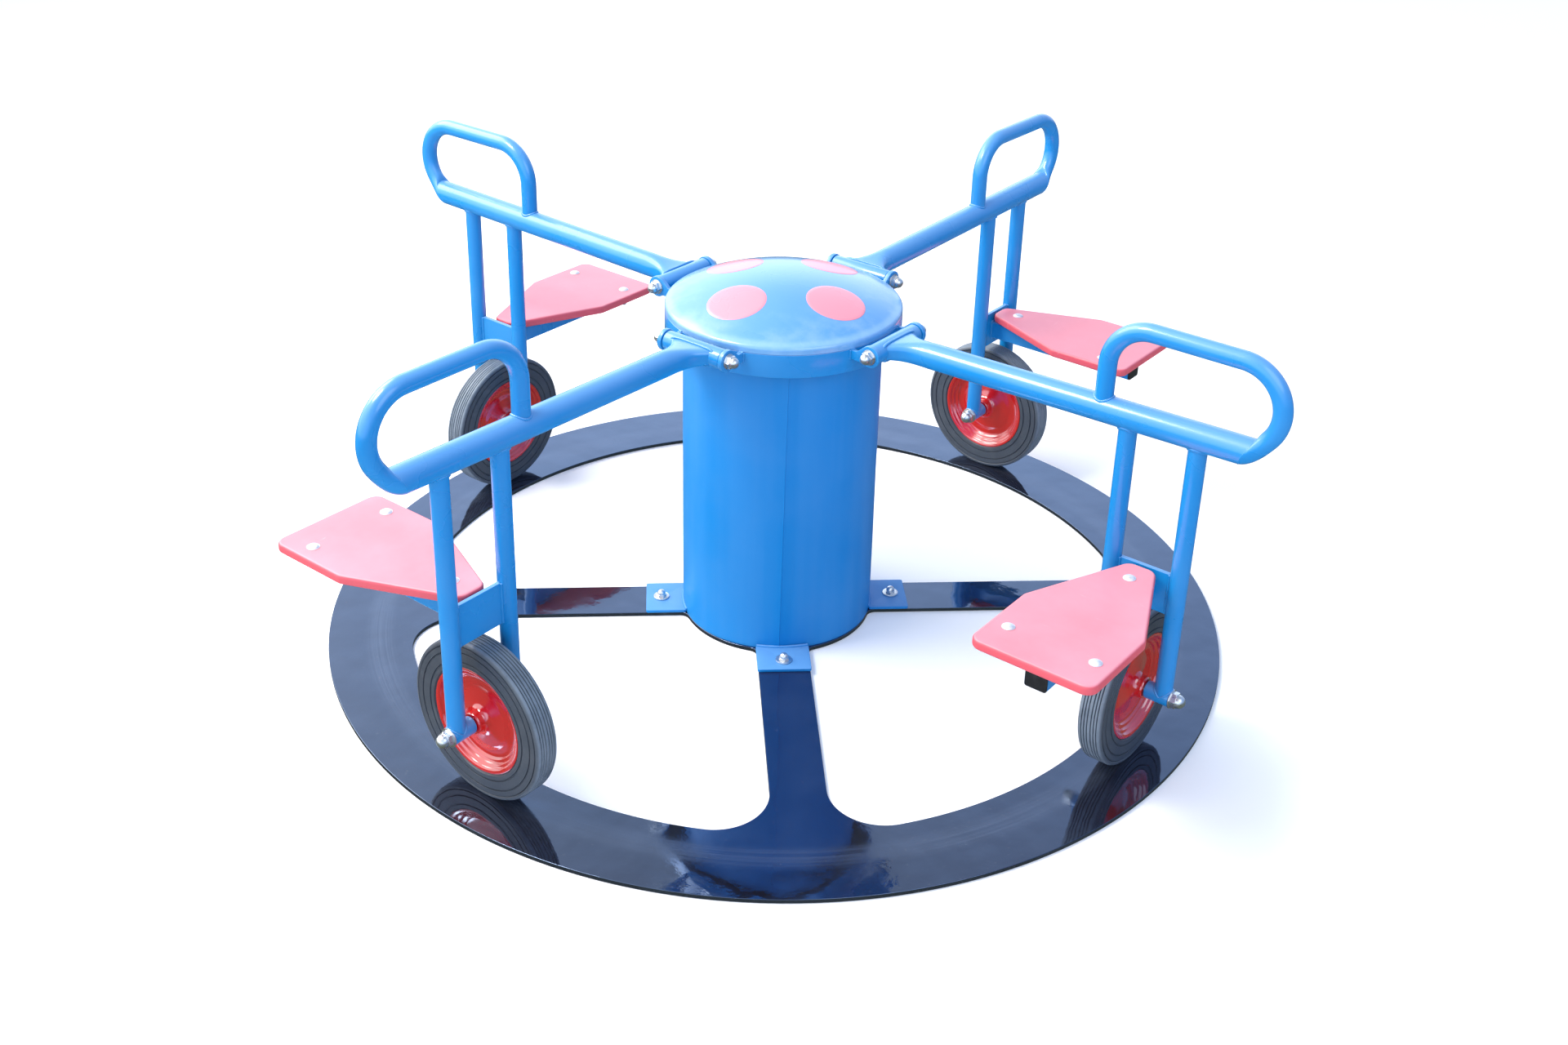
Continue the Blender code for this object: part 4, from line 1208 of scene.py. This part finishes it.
FLOOR_HALF = 90.0
FLOOR_AT = -0.0006

HAZE_TOWARDS = Vector((-0.76, -0.4, 0.5)).normalized()
SHADE_TOWARDS = Vector((0.85, 0.45, 0.15)).normalized()
LOW_SKY, HIGH_SKY = (2.2, 2.7, 3.5), (0.45, 0.5, 0.58)
HAZE, SHADE, GROUND = (2.9, 2.9, 2.9), (0.42, 0.66, 1.2), (0.2, 0.24, 0.2)
SKY_STRENGTH = 0.66

# Name, place, height aimed at over the origin, size, power and colour.
LIGHTS = (
    ("key", (-1.4, -1.8, 3.6), 0.4, 1.4, 110, (1.0, 0.98, 0.95)),
    ("haze", (-3.3, -0.65, 3.0), 0.5, 3.0, 110, (1.0, 0.99, 0.97)),
    ("fill", (2.6, -1.0, 2.6), 0.4, 2.4, 32, (0.8, 0.9, 1.0)),
)

# The camera stands where the photograph was taken from.
CAMERA_AT = (1.8405, -2.3857, 1.9145)
CAMERA_YAW = math.radians(37.65)
CAMERA_AIM = 0.0086
CAMERA_PITCH = -0.4456
CAMERA_ROLL = 0.0292
CAMERA_LENS = 39.4
CAMERA_SHIFT = (-0.0069, -0.0824)


def floor():
    mesh = bpy.data.meshes.new("floor")
    corners = rectangle((-FLOOR_HALF, -FLOOR_HALF), (FLOOR_HALF, FLOOR_HALF))
    mesh.from_pydata([(*corner, FLOOR_AT) for corner in corners], [], [(0, 1, 2, 3)])
    material, tree, shader = new_material("pale_floor")
    link(shader, Base_Color=(0.96, 0.94, 0.92, 1.0), Roughness=0.9)
    link(shader, Emission_Color=(1.0, 0.98, 0.96, 1.0), Emission_Strength=0.12)
    mesh.materials.append(material)
    obj = add("floor", mesh)
    obj.visible_glossy = False


def area_light(name, place, height, size, power, colour):
    data = bpy.data.lights.new(name, "AREA")
    data.shape = "DISK"
    data.size = size
    data.energy = power
    data.color = colour
    obj = add(name, data)
    obj.location = place
    aim = Vector((0, 0, height)) - Vector(place)
    obj.rotation_euler = aim.to_track_quat("-Z", "Y").to_euler()


def sky():
    """A sky bright and blue over the horizon, whiter on one side and dimmer on the other."""
    world = bpy.data.worlds.new("sky")
    bpy.context.scene.world = world
    world.use_nodes = True
    tree = world.node_tree
    direction = node(tree, "TexCoord").outputs["Generated"]
    height = node(tree, "SeparateXYZ", {0: direction}).outputs[2]
    colour = mixed(ramp(height, 0.3, 0.8), LOW_SKY, HIGH_SKY)
    sides = ((HAZE_TOWARDS, HAZE, 0.45, 0.98), (SHADE_TOWARDS, SHADE, -0.2, 1.0))
    for towards, side_colour, low, high in sides:
        inputs = {0: direction, 1: towards}
        near = node(tree, "VectorMath", inputs, operation="DOT_PRODUCT").outputs["Value"]
        colour = mixed(ramp(near, low, high), colour, side_colour)
    above = ramp(height, -0.1, -0.03)
    background = tree.nodes["Background"]
    tree.links.new(mixed(above, GROUND, colour), background.inputs["Color"])
    background.inputs["Strength"].default_value = SKY_STRENGTH


def camera():
    data = bpy.data.cameras.new("camera")
    data.lens = CAMERA_LENS
    data.sensor_width = 36.0
    data.shift_x, data.shift_y = CAMERA_SHIFT
    level, drop = math.cos(CAMERA_PITCH), math.sin(CAMERA_PITCH)
    forward = Vector((math.sin(CAMERA_AIM) * level, math.cos(CAMERA_AIM) * level, drop))
    right = forward.cross(UP).normalized()
    up = right.cross(forward)
    c, s = math.cos(CAMERA_ROLL), math.sin(CAMERA_ROLL)
    right, up = c * right + s * up, c * up - s * right
    axes = Matrix((right, up, -forward)).transposed()
    turn = Matrix.Rotation(CAMERA_YAW, 3, "Z") @ axes
    obj = add("camera", data)
    obj.matrix_world = shift(*CAMERA_AT) @ turn.to_4x4()
    bpy.context.scene.camera = obj


def stage():
    floor()
    sky()
    for light in LIGHTS:
        area_light(*light)
    camera()
    bpy.context.scene.view_settings.view_transform = "Standard"


track_plate()
drum_shell()
foot_bolts()
head_band()
dome_lid()
lid_spots()
pivot_pins()
arm_beam()
hand_rail()
fork_leg(-1)
fork_leg(1)
fork_bridge()
seat_beam()
end_cap()
seat_panel()
seat_bolts()
axle_bolt()
wheels()
inner_metal()
stage()
